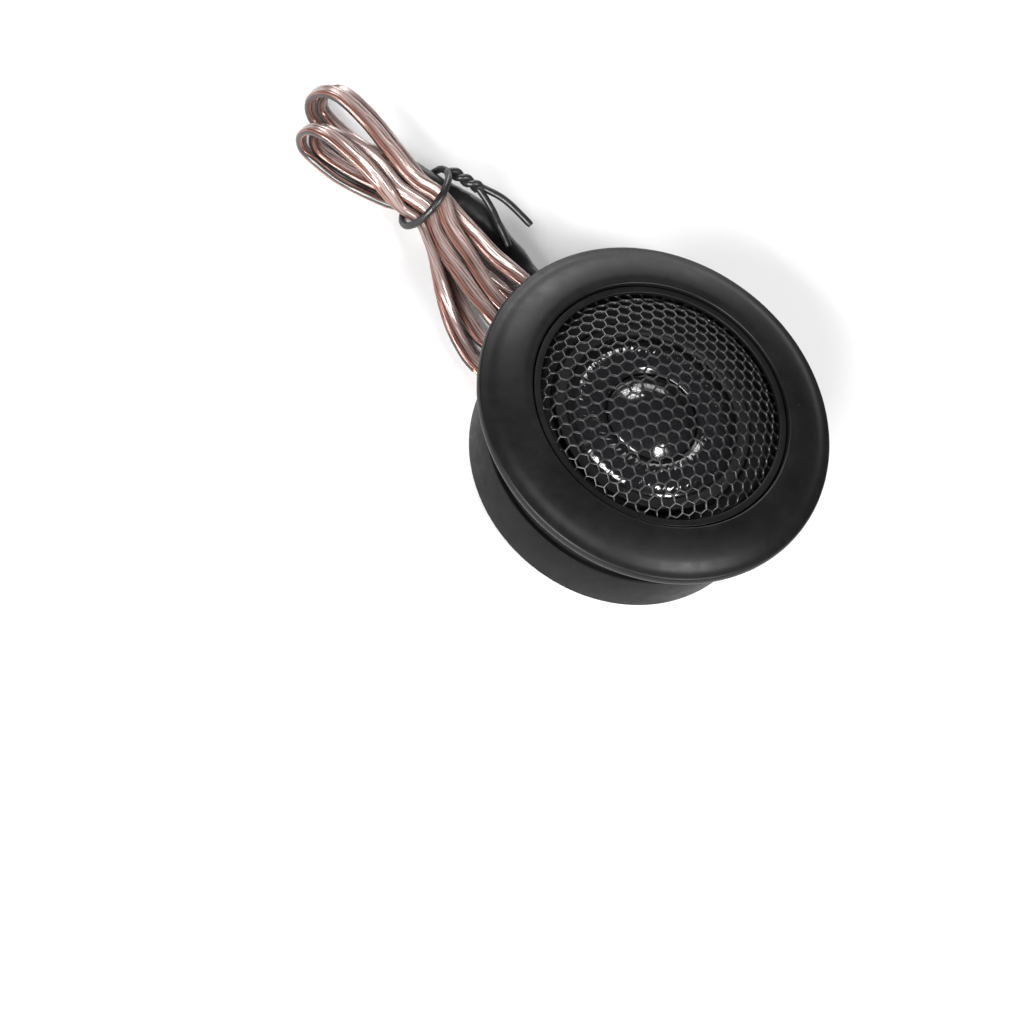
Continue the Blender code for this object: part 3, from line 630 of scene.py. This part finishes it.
def lead_stations():
    """The whole lead: out of the cup, through the sleeve, then eight passes of the tie."""
    side = beside(0.0, 1.0, 0.0) - beside(0.0, 0.0, 0.0)
    start = [[*beside(r, 0.0, EXIT_Z), *side] for r in (20.2, 22.0, 24.4)]
    start.append([-21.4, 16.3, 4.0, *(side + (0, 0, 0.6))])
    inside = [[*p[:3], 0.0, 0.0, 1.0] for p in SLEEVE_STATIONS[:3]]
    inside += [[*p[:3], *LEAN_ALONG] for p in SLEEVE_STATIONS[3:]]
    first_loop = [
        flat(-60.0, 18.6, 2.9, -8),
        flat(-64.0, 19.2, 1.9, -14),
        *fold(-70.6, (19.5, 2.1), (21.2, 7.9), -16, -16),
        in_lean(-64.2, 21.75, -4.2, -20),
        in_lean(-60.6, 20.95, -3.6, -18),
        in_lean(-56.4, 19.7, -2.7, -12),
        in_lean(-52.8, 18.65, -2.0, -6),
        *reversed(SLOTS[4]),
    ]
    first_turn = [
        in_lean(-42.5, 16.9, -1.3, -2),
        in_lean(-38.0, 16.0, -0.8, 0),
        in_lean(-34.0, 15.25, -0.5, 6),
        *fold(-23.8, (12.4, 7.9), (13.4, 1.2), 10, 12),
        flat(-31.0, 13.7, 1.5, 50),
        flat(-36.0, 14.0, 1.9, 45),
        flat(-41.5, 15.2, 3.4, 20),
        *SLOTS[6],
    ]
    second_loop = [
        in_lean(-54.0, 14.2, -4.9, -10),
        flat(-60.0, 13.9, 2.1, -4),
        *fold(-67.9, (13.9, 1.7), (13.9, 7.7), 0, -8),
        in_lean(-61.9, 16.25, -0.95, -14),
        in_lean(-58.7, 16.3, -0.9, -6),
        in_lean(-56.0, 15.9, -1.0, 4),
        in_lean(-52.6, 14.9, -1.2, 20),
        *reversed(SLOTS[2]),
    ]
    second_turn = [
        in_lean(-43.0, 12.4, -0.2, 24),
        flat(-36.5, 7.0, 7.2, 20),
        flat(-31.0, 4.4, 7.9, 8),
        *fold(-24.6, (3.5, 7.7), (3.8, 1.0), 4, 0),
        flat(-31.5, 5.2, 1.0, 4),
        flat(-36.5, 8.2, 1.2, 4),
        flat(-40.0, 11.1, 2.2, -8),
        flat(-43.0, 13.4, 2.9, -25),
        *SLOTS[7],
    ]
    third_loop = [
        flat(-54.5, 17.0, 1.9, -4),
        flat(-60.5, 18.0, 0.9, 0),
        *fold(-71.9, (18.4, 0.8), (19.1, 9.3), -5, -5),
        in_lean(-62.2, 20.5, -1.9, -18),
        in_lean(-57.5, 19.2, -1.1, -12),
        in_lean(-53.0, 17.9, -0.6, -6),
        *reversed(SLOTS[3]),
    ]
    third_turn = [
        in_lean(-43.0, 15.0, 0.1, 2),
        flat(-37.0, 10.1, 7.9, 12),
        flat(-31.0, 7.0, 8.0, 4),
        *fold(-23.6, (6.3, 7.6), (10.6, 1.2), -14, -14),
        flat(-31.0, 11.6, 0.8),
        flat(-35.5, 12.1, 0.75),
        flat(-40.0, 12.9, 0.75),
        flat(-43.0, 13.5, 1.2, -25),
        *SLOTS[5],
    ]
    last_loop = [
        in_lean(-53.0, 12.3, -5.2, -64),
        in_lean(-57.5, 11.2, -5.2, -78),
        in_lean(-61.5, 10.7, -5.0, -80),
        *fold(-69.3, (11.9, 1.4), (12.3, 8.5), -50, -4),
        in_lean(-62.3, 14.95, 0.6, -12),
        in_lean(-58.8, 14.65, 0.45, 0),
        in_lean(-55.5, 14.1, 0.2, 24),
        in_lean(-52.8, 13.5, -0.6, 50),
        *reversed(SLOTS[1]),
    ]
    tail = [
        in_lean(-43.0, 10.9, -0.6, 84),
        flat(-38.0, 5.2, 4.4, 60),
        flat(-33.0, 2.0, 2.2, 20),
        flat(-28.6, 0.0, 1.0),
        flat(-25.8, -0.8, 1.0),
    ]
    pieces = (first_loop, first_turn, second_loop, second_turn)
    pieces += (third_loop, third_turn, last_loop, tail)
    return [*start, *inside, *[station for piece in pieces for station in piece]]


LEAD_SPACING = 0.7
SLEEVE_RUN = 34.0
FLOOR_CLEAR = 0.66
TOUCH = 2 * LOBE_R + 0.02


def settled(points, wide, sleeve):
    """Moves runs that would pass through each other, the sleeve, the cup or the floor."""
    count = len(points)
    order = np.arange(count)
    travelled = order * LEAD_SPACING
    in_sleeve = travelled < SLEEVE_RUN + 5.0
    near_tie = np.clip((np.abs(points[:, 0] - TIE_X) - 1.8) / 2.5, 0.15, 1.0)
    held = near_tie * np.clip((travelled - SLEEVE_RUN) / 9.0, 0.0, 1.0)
    kernel = np.hanning(9)
    kernel /= kernel.sum()
    home = points.copy()
    apart = np.abs(order[:, None] - order[None, :]) * LEAD_SPACING > 5.0
    for _ in range(90):
        push = np.zeros_like(points)
        for a in (-LOBE_AT, LOBE_AT):
            for b in (-LOBE_AT, LOBE_AT):
                first = points + a * wide
                second = points + b * wide
                gap = first[:, None, :] - second[None, :, :]
                far = np.linalg.norm(gap, axis=2) + 1e-9
                hit = apart & (far < TOUCH)
                weight = np.where(hit, (TOUCH - far) / far * 0.5, 0.0)
                push += np.einsum("ij,ijk->ik", weight, gap)
        for a in (-LOBE_AT, LOBE_AT):
            lobe = points + a * wide
            gap = lobe[:, None, :] - sleeve[None, :, :3]
            far = np.linalg.norm(gap, axis=2)
            nearest = far.argmin(axis=1)
            least = far[order, nearest]
            lack = np.maximum(0.0, sleeve[nearest, 3] + LOBE_R - least)
            away = gap[order, nearest] / least[:, None]
            push += np.where(in_sleeve, 0.0, lack)[:, None] * away
            push[:, 2] += np.maximum(0.0, FLOOR_CLEAR - lobe[:, 2])
            radial = np.linalg.norm(lobe[:, :2], axis=1)
            lack = np.maximum(0.0, CUP_R + LOBE_R + 0.25 - radial)
            push[:, :2] += (lack / radial)[:, None] * lobe[:, :2]
        push = np.stack([np.convolve(push[:, i], kernel, "same") for i in range(3)], axis=1)
        size = np.linalg.norm(push, axis=1, keepdims=True)
        push *= np.minimum(1.0, 0.35 / (size + 1e-9))
        points = points + held[:, None] * push
        points = points + 0.01 * held[:, None] * (home - points)
        shift = points - home
        shift[1:-1] += 0.25 * (shift[:-2] + shift[2:] - 2 * shift[1:-1])
        points = home + shift
    return points


def lead_section():
    """The twin lead's outline: tinned lobe first, then copper, joined by a thin web."""
    first = np.radians(np.linspace(-118, 118, 10))
    second = np.radians(np.linspace(62, 298, 10))
    right = [(LOBE_AT + LOBE_R * math.cos(a), LOBE_R * math.sin(a)) for a in first]
    left = [(-LOBE_AT + LOBE_R * math.cos(a), LOBE_R * math.sin(a)) for a in second]
    return np.array([(0.0, -0.4), *right, (0.0, 0.4), *left])


def lead_route():
    route = smooth_path(lead_stations(), LEAD_SPACING)
    points = route[:, :3]
    wide = unit(route[:, 3:])
    along = tangents(points)
    wide = unit(wide - along * np.sum(wide * along, axis=1, keepdims=True))
    sleeve = smooth_path(SLEEVE_STATIONS, 0.7)
    points = settled(points, wide, sleeve)
    along = tangents(points)
    wide = unit(wide - along * np.sum(wide * along, axis=1, keepdims=True))
    return points, wide


SLIM_SHARE = 0.78


def lead():
    """The lead as one mesh, a little slimmer where the sleeve grips it."""
    points, wide = lead_route()
    section = lead_section()
    travelled = np.concatenate([[0], np.cumsum(np.linalg.norm(np.diff(points, axis=0), axis=1))])
    sleeve_from = travelled[np.argmin(np.linalg.norm(points - SLEEVE_STATIONS[0][:3], axis=1))]
    sleeve_to = travelled[np.argmin(np.linalg.norm(points - SLEEVE_STATIONS[-1][:3], axis=1))]
    outlines = []
    for way in travelled:
        depth = min(way - sleeve_from, sleeve_to - way)
        share = min(1.0, max(0.0, (depth - 0.5) / 3.0))
        outlines.append(section * (1 - (1 - SLIM_SHARE) * share))
    body = swept("twin_lead", points, outlines, wide, LEAD, 60.0, uv=True)
    return body, points, wide, float(travelled[-1])


def bare_end(name, centre, direction, side, look):
    """Seven bare strands twisted together, at the end of one core."""
    length = 4.2
    points = []
    faces = []
    strand_r = 0.15
    for strand in range(7):
        phase = strand * math.pi / 3
        orbit = 0.3 if strand < 6 else 0.0
        steps = np.linspace(0, 1, 13)
        up = np.cross(direction, side)
        path = np.array(
            [
                centre
                + direction * length * s
                + orbit * (side * math.cos(phase + 3.4 * s) + up * math.sin(phase + 3.4 * s)) * (1 + 0.25 * s)
                for s in steps
            ]
        )
        sides = carried(path, side)
        ups = np.cross(tangents(path), sides)
        ring = circle(strand_r, 8)
        base = len(points)
        for at, a, b in zip(path, sides, ups):
            points += [at + p * a + q * b for p, q in ring]
        for i in range(len(path) - 1):
            for k in range(8):
                m = (k + 1) % 8
                low, high = base + i * 8, base + (i + 1) * 8
                faces.append((low + k, low + m, high + m, high + k))
        faces.append(tuple(base + k for k in range(8)))
        faces.append(tuple(base + (len(path) - 1) * 8 + k for k in reversed(range(8))))
    return place(name, weld(new_mesh(name, points, faces)), look, 60)


def sleeve():
    """The heat-shrink tube: an open tube that follows the parts under it."""
    route = smooth_path(SLEEVE_STATIONS, 0.5)
    points = route[:, :3]
    share = np.linspace(0, 1, len(points))
    outer = route[:, 3] + 0.03 * np.sin(share * 41) * np.sin(share * 17 + 1)
    outer[0] -= 0.1
    outer[-1] -= 0.1
    inner = outer - 0.3
    sides = carried(points, (0.0, 0.3, 1.0))
    ups = np.cross(tangents(points), sides)
    path = [*points, *points[::-1]]
    radii = [*outer, *inner[::-1]]
    sides = [*sides, *sides[::-1]]
    ups = [*ups, *ups[::-1]]
    ring = circle(1.0, 28)
    placed = []
    for at, radius, side, up in zip(path, radii, sides, ups):
        placed += [at + radius * (p * side + q * up) for p, q in ring]
    total = len(path)
    faces = []
    for i in range(total):
        j = (i + 1) % total
        for k in range(28):
            m = (k + 1) % 28
            faces.append((i * 28 + k, i * 28 + m, j * 28 + m, j * 28 + k))
    return place("shrink_sleeve", weld(new_mesh("shrink_sleeve", placed, faces)), SHRINK, 50)


def tie_ring():
    points = []
    for angle in np.radians(np.linspace(14, 346, 22)):
        points.append(
            TIE_CENTRE
            + TIE_HALF_LONG * math.cos(angle) * LEAN_ALONG
            + TIE_HALF_SHORT * math.sin(angle) * SHORT_AXIS
        )
    return points


def twist_strand(phase):
    along = TWIST_END - TWIST_START
    length = np.linalg.norm(along)
    along = along / length
    side = unit(np.cross(along, (0, 0, 1)))
    up = np.cross(side, along)
    points = []
    for share in np.linspace(0, 1, 13):
        turn = 2 * math.pi * TWIST_TURNS * share + phase
        offset = TWIST_R * (side * math.cos(turn) + up * math.sin(turn))
        points.append(TWIST_START + along * length * share + offset)
    return points


def twist_tie():
    first = [*twist_strand(math.pi / 2), *TIE_TAILS[0]]
    second = [*twist_strand(-math.pi / 2), *TIE_TAILS[1]]
    route = [*reversed(first), *tie_ring(), *second]
    points = smooth_path(route, 0.45)
    radii = np.full(len(points), TIE_WIRE_R)
    radii[0] = radii[-1] = TIE_WIRE_R - 0.1
    return wire("tie_wire", points, radii, TIE)


lead_body, LEAD_POINTS, LEAD_WIDE, LEAD_LENGTH = lead()
sleeve_body = sleeve()
tie_body = twist_tie()
end_direction = unit(LEAD_POINTS[-1] - LEAD_POINTS[-2])
tinned_end = bare_end(
    "bare_end_tinned",
    LEAD_POINTS[-1] + LOBE_AT * LEAD_WIDE[-1] - 0.4 * end_direction,
    end_direction,
    LEAD_WIDE[-1],
    TINNED,
)
copper_end = bare_end(
    "bare_end_copper",
    LEAD_POINTS[-1] - LOBE_AT * LEAD_WIDE[-1] - 0.4 * end_direction,
    end_direction,
    LEAD_WIDE[-1],
    COPPER,
)
print("lead length mm", round(LEAD_LENGTH, 1))

# Housing ---------------------------------------------------------------------

def arc(centre, radius, start_deg, end_deg, count):
    angles = np.radians(np.linspace(start_deg, end_deg, count))
    return [(centre[0] + radius * math.cos(a), centre[1] + radius * math.sin(a)) for a in angles]


def bezel():
    """The flange ring, with a crisp groove lip and a softly rolled outer edge."""
    face = [(20.75, 21.5), (21.9, 21.42), (23.6, 21.0), (25.3, 20.35), (26.7, 19.55)]
    face += arc((26.7, 18.4), 1.3, 48, -40, 9)[1:]
    outer = smooth_path([(r, 0.0, z) for r, z in face], 0.22)
    profile = [(20.3, 19.3), (20.3, 21.28), (20.34, 21.4), (20.44, 21.48), (20.58, 21.51)]
    profile += [(p[0], p[2]) for p in outer]
    profile += [(27.4, 17.2), (27.1, 17.06), (26.7, 17.0), (24.3, 17.0), (24.2, 17.1), (24.2, 17.3)]
    profile += [(18.35, 17.3), (18.2, 17.45), (18.2, 19.15), (18.35, 19.3)]
    return revolved("bezel_moulding", profile, SATIN, 256, sharp_deg=38)


def barrel():
    corners = [
        (23.2, 17.0, 0.15),
        (23.2, 9.1, 0.2),
        (21.8, 9.1, 0.0),
        (21.8, 7.5, 0.1),
        (20.6, 7.5, 0.1),
        (20.6, 10.0, 0.0),
        (21.2, 10.8, 0.0),
        (21.2, 17.0, 0.1),
    ]
    return revolved("barrel_moulding", filleted(corners, 4), SATIN_SHADED_COPY, 192)


REAR_SCREW_PLACES = [polar(18.4, angle) for angle in (90, 210, 330)]


def drill(radius, low, high, at, name="drill"):
    shape = bmesh.new()
    bmesh.ops.create_cone(
        shape,
        cap_ends=True,
        segments=48,
        radius1=radius * MM,
        radius2=radius * MM,
        depth=(high - low) * MM,
    )
    mesh = bpy.data.meshes.new(name)
    shape.to_mesh(mesh)
    shape.free()
    made = bpy.data.objects.new(name, mesh)
    bpy.context.scene.collection.objects.link(made)
    made.location = (at[0] * MM, at[1] * MM, (low + high) / 2 * MM)
    return made


def exit_turn():
    direction = Vector((*polar(1.0, EXIT_ANGLE), 0.0))
    x, y = polar(CUP_R - CUP_WALL / 2, EXIT_ANGLE)
    turn = direction.to_track_quat("Z", "Y").to_matrix().to_4x4()
    return Matrix.Translation((x * MM, y * MM, EXIT_Z * MM)) @ turn


def cup():
    """The rear cup: raised rim on the back, shallow recess, screw wells and exit hole."""
    corners = [
        (CUP_R, 8.8, 0.22),
        (CUP_R, 0.0, 0.8),
        (15.2, 0.0, 0.15),
        (15.0, 0.35, 0.1),
        (5.2, 0.35, 0.1),
        (5.0, 0.1, 0.1),
        (0.0, 0.1, 0.0),
        (0.0, 2.2, 0.0),
        (22.1, 2.2, 0.4),
        (22.1, 8.8, 0.1),
    ]
    body = revolved("cup_moulding", filleted(corners, 5), SATIN_SHADED_COPY, 192)
    cutters = [drill(1.1, -1, 4, at) for at in REAR_SCREW_PLACES]
    cutters += [drill(2.3, -1, 1.3, at) for at in REAR_SCREW_PLACES]
    hole = drill(2.25, -2.2, 2.2, (0, 0))
    hole.matrix_world = exit_turn()
    return cut(body, [*cutters, hole])


def grommet():
    corners = [
        (2.15, 1.85, 0.2),
        (2.5, 1.5, 0.15),
        (2.5, 1.0, 0.1),
        (1.95, 1.0, 0.0),
        (1.95, -1.0, 0.0),
        (2.4, -1.0, 0.1),
        (2.4, -1.5, 0.1),
        (1.5, -1.5, 0.1),
        (1.5, 1.85, 0.15),
    ]
    body = revolved("grommet_moulding", filleted(corners, 4), RUBBER, 64)
    body.data.transform(exit_turn())
    return body


def rear_screw(index, at):
    """A pan-head screw with a cross recess."""
    profile = [(0.0, 6.6), (0.48, 6.3), (0.8, 5.6), (0.8, 1.0), (1.9, 1.0), (1.9, 0.62), (1.78, 0.35)]
    profile += [(1.5, 0.2), (1.0, 0.15), (0.0, 0.14)]
    body = revolved(f"rear_screw_head_{index + 1}", profile, ZINC, 48, closed=False, sharp_deg=35)
    turn = math.radians(20 + 37 * index)
    slots = []
    for quarter in (0, 1):
        shape = bmesh.new()
        bmesh.ops.create_cube(shape, size=1.0)
        size = Matrix.Diagonal((2.3 * MM, 0.42 * MM, 0.9 * MM, 1.0))
        bmesh.ops.transform(shape, matrix=size, verts=shape.verts)
        mesh = bpy.data.meshes.new("slot")
        shape.to_mesh(mesh)
        shape.free()
        tool = bpy.data.objects.new("slot", mesh)
        bpy.context.scene.collection.objects.link(tool)
        tool.rotation_euler = (0, 0, turn + quarter * math.pi / 2)
        tool.location = (0, 0, 0.15 * MM)
        slots.append(tool)
    cut(body, slots)
    body.data.transform(Matrix.Translation((at[0] * MM, at[1] * MM, 0)))
    return body


# Grille ----------------------------------------------------------------------

HOLE_PITCH = 2.06
HOLE_WEB = 0.3
HOLE_TURN_DEG = -8.9
SHEET = 0.45
APEX_Z = 25.5
SPHERE_R = 39.0


def grille_profile():
    """(distance along the sheet, radius, height), from the apex to the rim's edge."""
    outline = [(r, 0.0, APEX_Z - SPHERE_R + math.sqrt(SPHERE_R**2 - r * r)) for r in np.linspace(0, 16.9, 18)]
    outline += [(17.5, 0.0, 21.2), (18.0, 0.0, 20.85), (18.3, 0.0, 20.45), (18.55, 0.0, 20.12)]
    outline += [(18.9, 0.0, 20.05), (19.8, 0.0, 20.05)]
    fine = smooth_path(outline, 0.1)[:, [0, 2]]
    travelled = np.concatenate([[0], np.cumsum(np.linalg.norm(np.diff(fine, axis=0), axis=1))])
    return travelled, fine


def grille():
    """The hexagonal mesh, laid out flat and pressed over the dome."""
    travelled, fine = grille_profile()
    reach = travelled[-1]
    outer = HOLE_PITCH / math.sqrt(3)
    hole = (HOLE_PITCH - HOLE_WEB) / math.sqrt(3)
    # (distance from the cell's centre, depth below the sheet's face)
    steps = [(outer, 0.0), (hole + 0.1, 0.015), (hole + 0.03, 0.05), (hole, 0.12), (hole, SHEET - 0.1)]
    steps += [(hole + 0.06, SHEET), (outer, SHEET)]
    first = np.array(polar(HOLE_PITCH, HOLE_TURN_DEG))
    second = np.array(polar(HOLE_PITCH, HOLE_TURN_DEG + 60))
    corners = [np.array(polar(1.0, HOLE_TURN_DEG + 30 + 60 * k)) for k in range(6)]
    flat_points = []
    depths = []
    faces = []
    cells = range(-12, 13)
    for i in cells:
        for j in cells:
            centre = i * first + j * second
            if np.linalg.norm(centre) > reach + 0.6 * HOLE_PITCH:
                continue
            base = len(flat_points)
            for distance, depth in steps:
                for corner in corners:
                    flat_points.append(centre + distance * corner)
                    depths.append(depth)
            for s in range(len(steps) - 1):
                for k in range(6):
                    m = (k + 1) % 6
                    low, high = base + s * 6, base + (s + 1) * 6
                    faces.append((low + k, low + m, high + m, high + k))
    flat_points = np.array(flat_points)
    depths = np.array(depths)
    distance = np.minimum(np.linalg.norm(flat_points, axis=1), reach)
    angle = np.arctan2(flat_points[:, 1], flat_points[:, 0])
    slope = np.gradient(fine, travelled, axis=0)
    radius = np.interp(distance, travelled, fine[:, 0]) + depths * np.interp(distance, travelled, slope[:, 1])
    height = np.interp(distance, travelled, fine[:, 1]) - depths * np.interp(distance, travelled, slope[:, 0])
    points = np.stack([radius * np.cos(angle), radius * np.sin(angle), height], axis=1)
    mesh = weld(new_mesh("grille_sheet", points, faces), 1e-6)
    return place("grille_sheet", mesh, ENAMEL, 70)


def grille_ring():
    corners = [(20.0, 21.05, 0.12), (20.0, 20.35, 0.05), (18.95, 20.35, 0.05), (18.95, 21.05, 0.12)]
    return revolved("grille_ring_moulding", filleted(corners, 5), SATIN, 224, sharp_deg=60)


# Driver, as seen through the grille ------------------------------------------


def face_plate():
    corners = [(19.9, 16.7, 0.1), (19.9, 16.3, 0.05), (15.8, 16.3, 0.05), (16.15, 16.7, 0.12)]
    return revolved("face_plate_moulding", filleted(corners, 4), MATT, 160)


def diaphragm_ring():
    corners = [(15.5, 17.5, 0.12), (15.5, 16.8, 0.05), (13.7, 16.8, 0.05), (13.7, 17.2, 0.1), (14.0, 17.5, 0.1)]
    return revolved("diaphragm_ring_moulding", filleted(corners, 4), MATT, 160)


def pressed(name, profile, thickness, ribs, look, steps=360):
    """A thin turned film whose height also follows ribs(radius, angle)."""
    angles = np.linspace(0, 2 * math.pi, steps, endpoint=False)
    profile = np.asarray(profile)
    count = len(profile)
    rings = []
    for lower in (0.0, thickness):
        for radius, height in profile:
            lift = np.array([ribs(radius, angle) for angle in angles]) if ribs else 0.0
            level = height - lower + 0 * angles + lift
            ring = np.stack([radius * np.cos(angles), radius * np.sin(angles), level], 1)
            rings.append(ring)
    order = [*range(count), *reversed(range(count, 2 * count))]
    faces = []
    spans = list(zip(order, order[1:]))
    if profile[0][0] > 0:
        spans.append((order[-1], order[0]))
    for a, b in spans:
        for i in range(steps):
            j = (i + 1) % steps
            faces.append((a * steps + i, a * steps + j, b * steps + j, b * steps + i))
    mesh = weld(new_mesh(name, np.concatenate(rings), faces))
    return place(name, mesh, look, 60)


RIB_COUNT = 54
RIB_HEIGHT = 0.11


def rib_lift(radius, angle):
    """Slanted ribs over the surround's roll, fading out at both of its edges."""
    fade = math.sin(math.pi * min(1.0, max(0.0, (radius - 8.0) / (13.0 - 8.0))))
    wave = math.cos(RIB_COUNT * angle + 2.6 * (radius - 8.0))
    return RIB_HEIGHT * fade * max(-0.3, wave)


def surround():
    outline = [(7.3, 0.0, 16.9), (8.3, 0.0, 17.6), (10.1, 0.0, 18.0), (11.9, 0.0, 17.6), (13.0, 0.0, 16.75)]
    outline += [(13.6, 0.0, 16.5), (14.4, 0.0, 16.5), (15.2, 0.0, 16.5)]
    profile = smooth_path(outline, 0.26)[:, [0, 2]]
    return pressed("surround_film", profile, 0.16, rib_lift, FILM)


def dome():
    """The glossy dome cap with the glued bead where it meets its voice coil."""
    sphere = (7.0**2 + 2.6**2) / (2 * 2.6)
    span = math.degrees(math.asin(7.0 / sphere))
    cap = arc((0.0, 16.9 + 2.6 - sphere), sphere, 90, 90 - span, 28)
    cap[0] = (0.0, cap[0][1])
    profile = [*cap, (7.08, 16.75), (7.1, 16.45)]
    return pressed("dome_film", profile, 0.18, None, FILM, 160)


bezel_body = bezel()
barrel_body = barrel()
cup_body = cup()
grommet_body = grommet()
screws = [rear_screw(index, at) for index, at in enumerate(REAR_SCREW_PLACES)]
grille_body = grille()
ring_body = grille_ring()
plate_body = face_plate()
clamp_body = diaphragm_ring()
surround_body = surround()
dome_body = dome()

# Kept CAD nodes --------------------------------------------------------------

CAD_LOOKS = {
    "driver_basket": MATT,
    "driver_screw_1": ZINC,
    "driver_screw_2": ZINC,
    "driver_screw_3": ZINC,
    "yoke_cup": ZINC,
    "pole_plate": ZINC,
    "magnet": NICKEL,
    "pole_felt_pad": FELT,
    "rear_foam_pad": FOAM,
    "voice_coil_former": KAPTON,
    "voice_coil_winding": COPPER,
    "terminal_board": FIBRE,
    "terminal_tag_positive": BRASS,
    "terminal_tag_negative": BRASS,
    "lead_core_positive": COPPER,
    "lead_core_negative": TINNED,
    "coil_lead_positive": COPPER,
    "coil_lead_negative": COPPER,
    "capacitor": CAN,
}
for node_name, node_look in CAD_LOOKS.items():
    for material_slot in NODES[node_name].material_slots:
        material_slot.link = "OBJECT"
        material_slot.material = node_look

# Frame -----------------------------------------------------------------------

RIDES = [
    (bezel_body, "housing", "satin_plastic", ["front_bezel"]),
    (barrel_body, "housing", "satin_plastic", ["barrel"]),
    (cup_body, "housing", "satin_plastic", ["rear_cup"]),
    (ring_body, "housing", "satin_plastic", ["grille_ring"]),
    (grommet_body, "housing", "rubber", ["cable_grommet"]),
    (screws[0], "housing", "steel", ["rear_screw_1"]),
    (screws[1], "housing", "steel", ["rear_screw_2"]),
    (screws[2], "housing", "steel", ["rear_screw_3"]),
    (grille_body, "housing", "mesh_paint", ["grille_mesh"]),
    (plate_body, "housing", "matt_plastic", ["face_plate"]),
    (clamp_body, "housing", "matt_plastic", ["diaphragm_ring"]),
    (surround_body, "housing", "film", ["surround"]),
    (dome_body, "diaphragm", "film", ["diaphragm_dome"]),
    (lead_body, "housing", "clear_pvc", ["lead_from_housing", "cable_hank"]),
    (sleeve_body, "housing", "heat_shrink", ["heat_shrink_sleeve"]),
    (tie_body, "housing", "tie_pvc", ["twist_tie"]),
    (tinned_end, "housing", "tinned", []),
    (copper_end, "housing", "copper", []),
]
for piece, body_name, slot_name, stands_for in RIDES:
    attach(piece, body_name)
    if stands_for:
        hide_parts(*stands_for)

# Stage -----------------------------------------------------------------------


def stage():
    mesh = bpy.data.meshes.new("floor")
    shape = bmesh.new()
    bmesh.ops.create_grid(shape, x_segments=2, y_segments=2, size=2.0)
    shape.to_mesh(mesh)
    shape.free()
    look = Look("floor_paper", roughness=0.85)
    look.colour(look.mix(look.noise(40.0, 2.0), (0.8, 0.8, 0.8), (0.84, 0.84, 0.84)))
    floor = place("floor", mesh, look.material)
    floor.location.z = -0.02 * MM


def softbox(name, place_m, aim, size, power, colour=(1.0, 1.0, 1.0)):
    data = bpy.data.lights.new(name, "AREA")
    data.shape = "RECTANGLE"
    data.size, data.size_y = size
    data.energy = power
    data.color = colour
    made = bpy.data.objects.new(name, data)
    bpy.context.scene.collection.objects.link(made)
    made.location = place_m
    made.rotation_euler = (Vector(aim) - Vector(place_m)).to_track_quat("-Z", "Y").to_euler()


def light():
    softbox("back_left", (-0.42, 0.42, 0.36), (0, 0, 0.015), (0.26, 0.26), 2.8)
    softbox("back", (-0.2, 0.62, 0.2), (0, 0, 0.015), (0.4, 0.14), 1.0)
    softbox("front", (-0.08, -0.62, 0.4), (0, 0, 0.0), (0.5, 0.25), 11.0)
    softbox("right", (0.5, -0.17, 0.52), (0, 0, 0.015), (0.2, 0.16), 4.5)
    world = bpy.data.worlds.new("studio")
    world.use_nodes = True
    world.node_tree.nodes["Background"].inputs["Color"].default_value = (0.95, 0.97, 1.0, 1.0)
    world.node_tree.nodes["Background"].inputs["Strength"].default_value = 0.08
    bpy.context.scene.world = world
    bpy.context.scene.view_settings.view_transform = "Standard"


stage()
light()
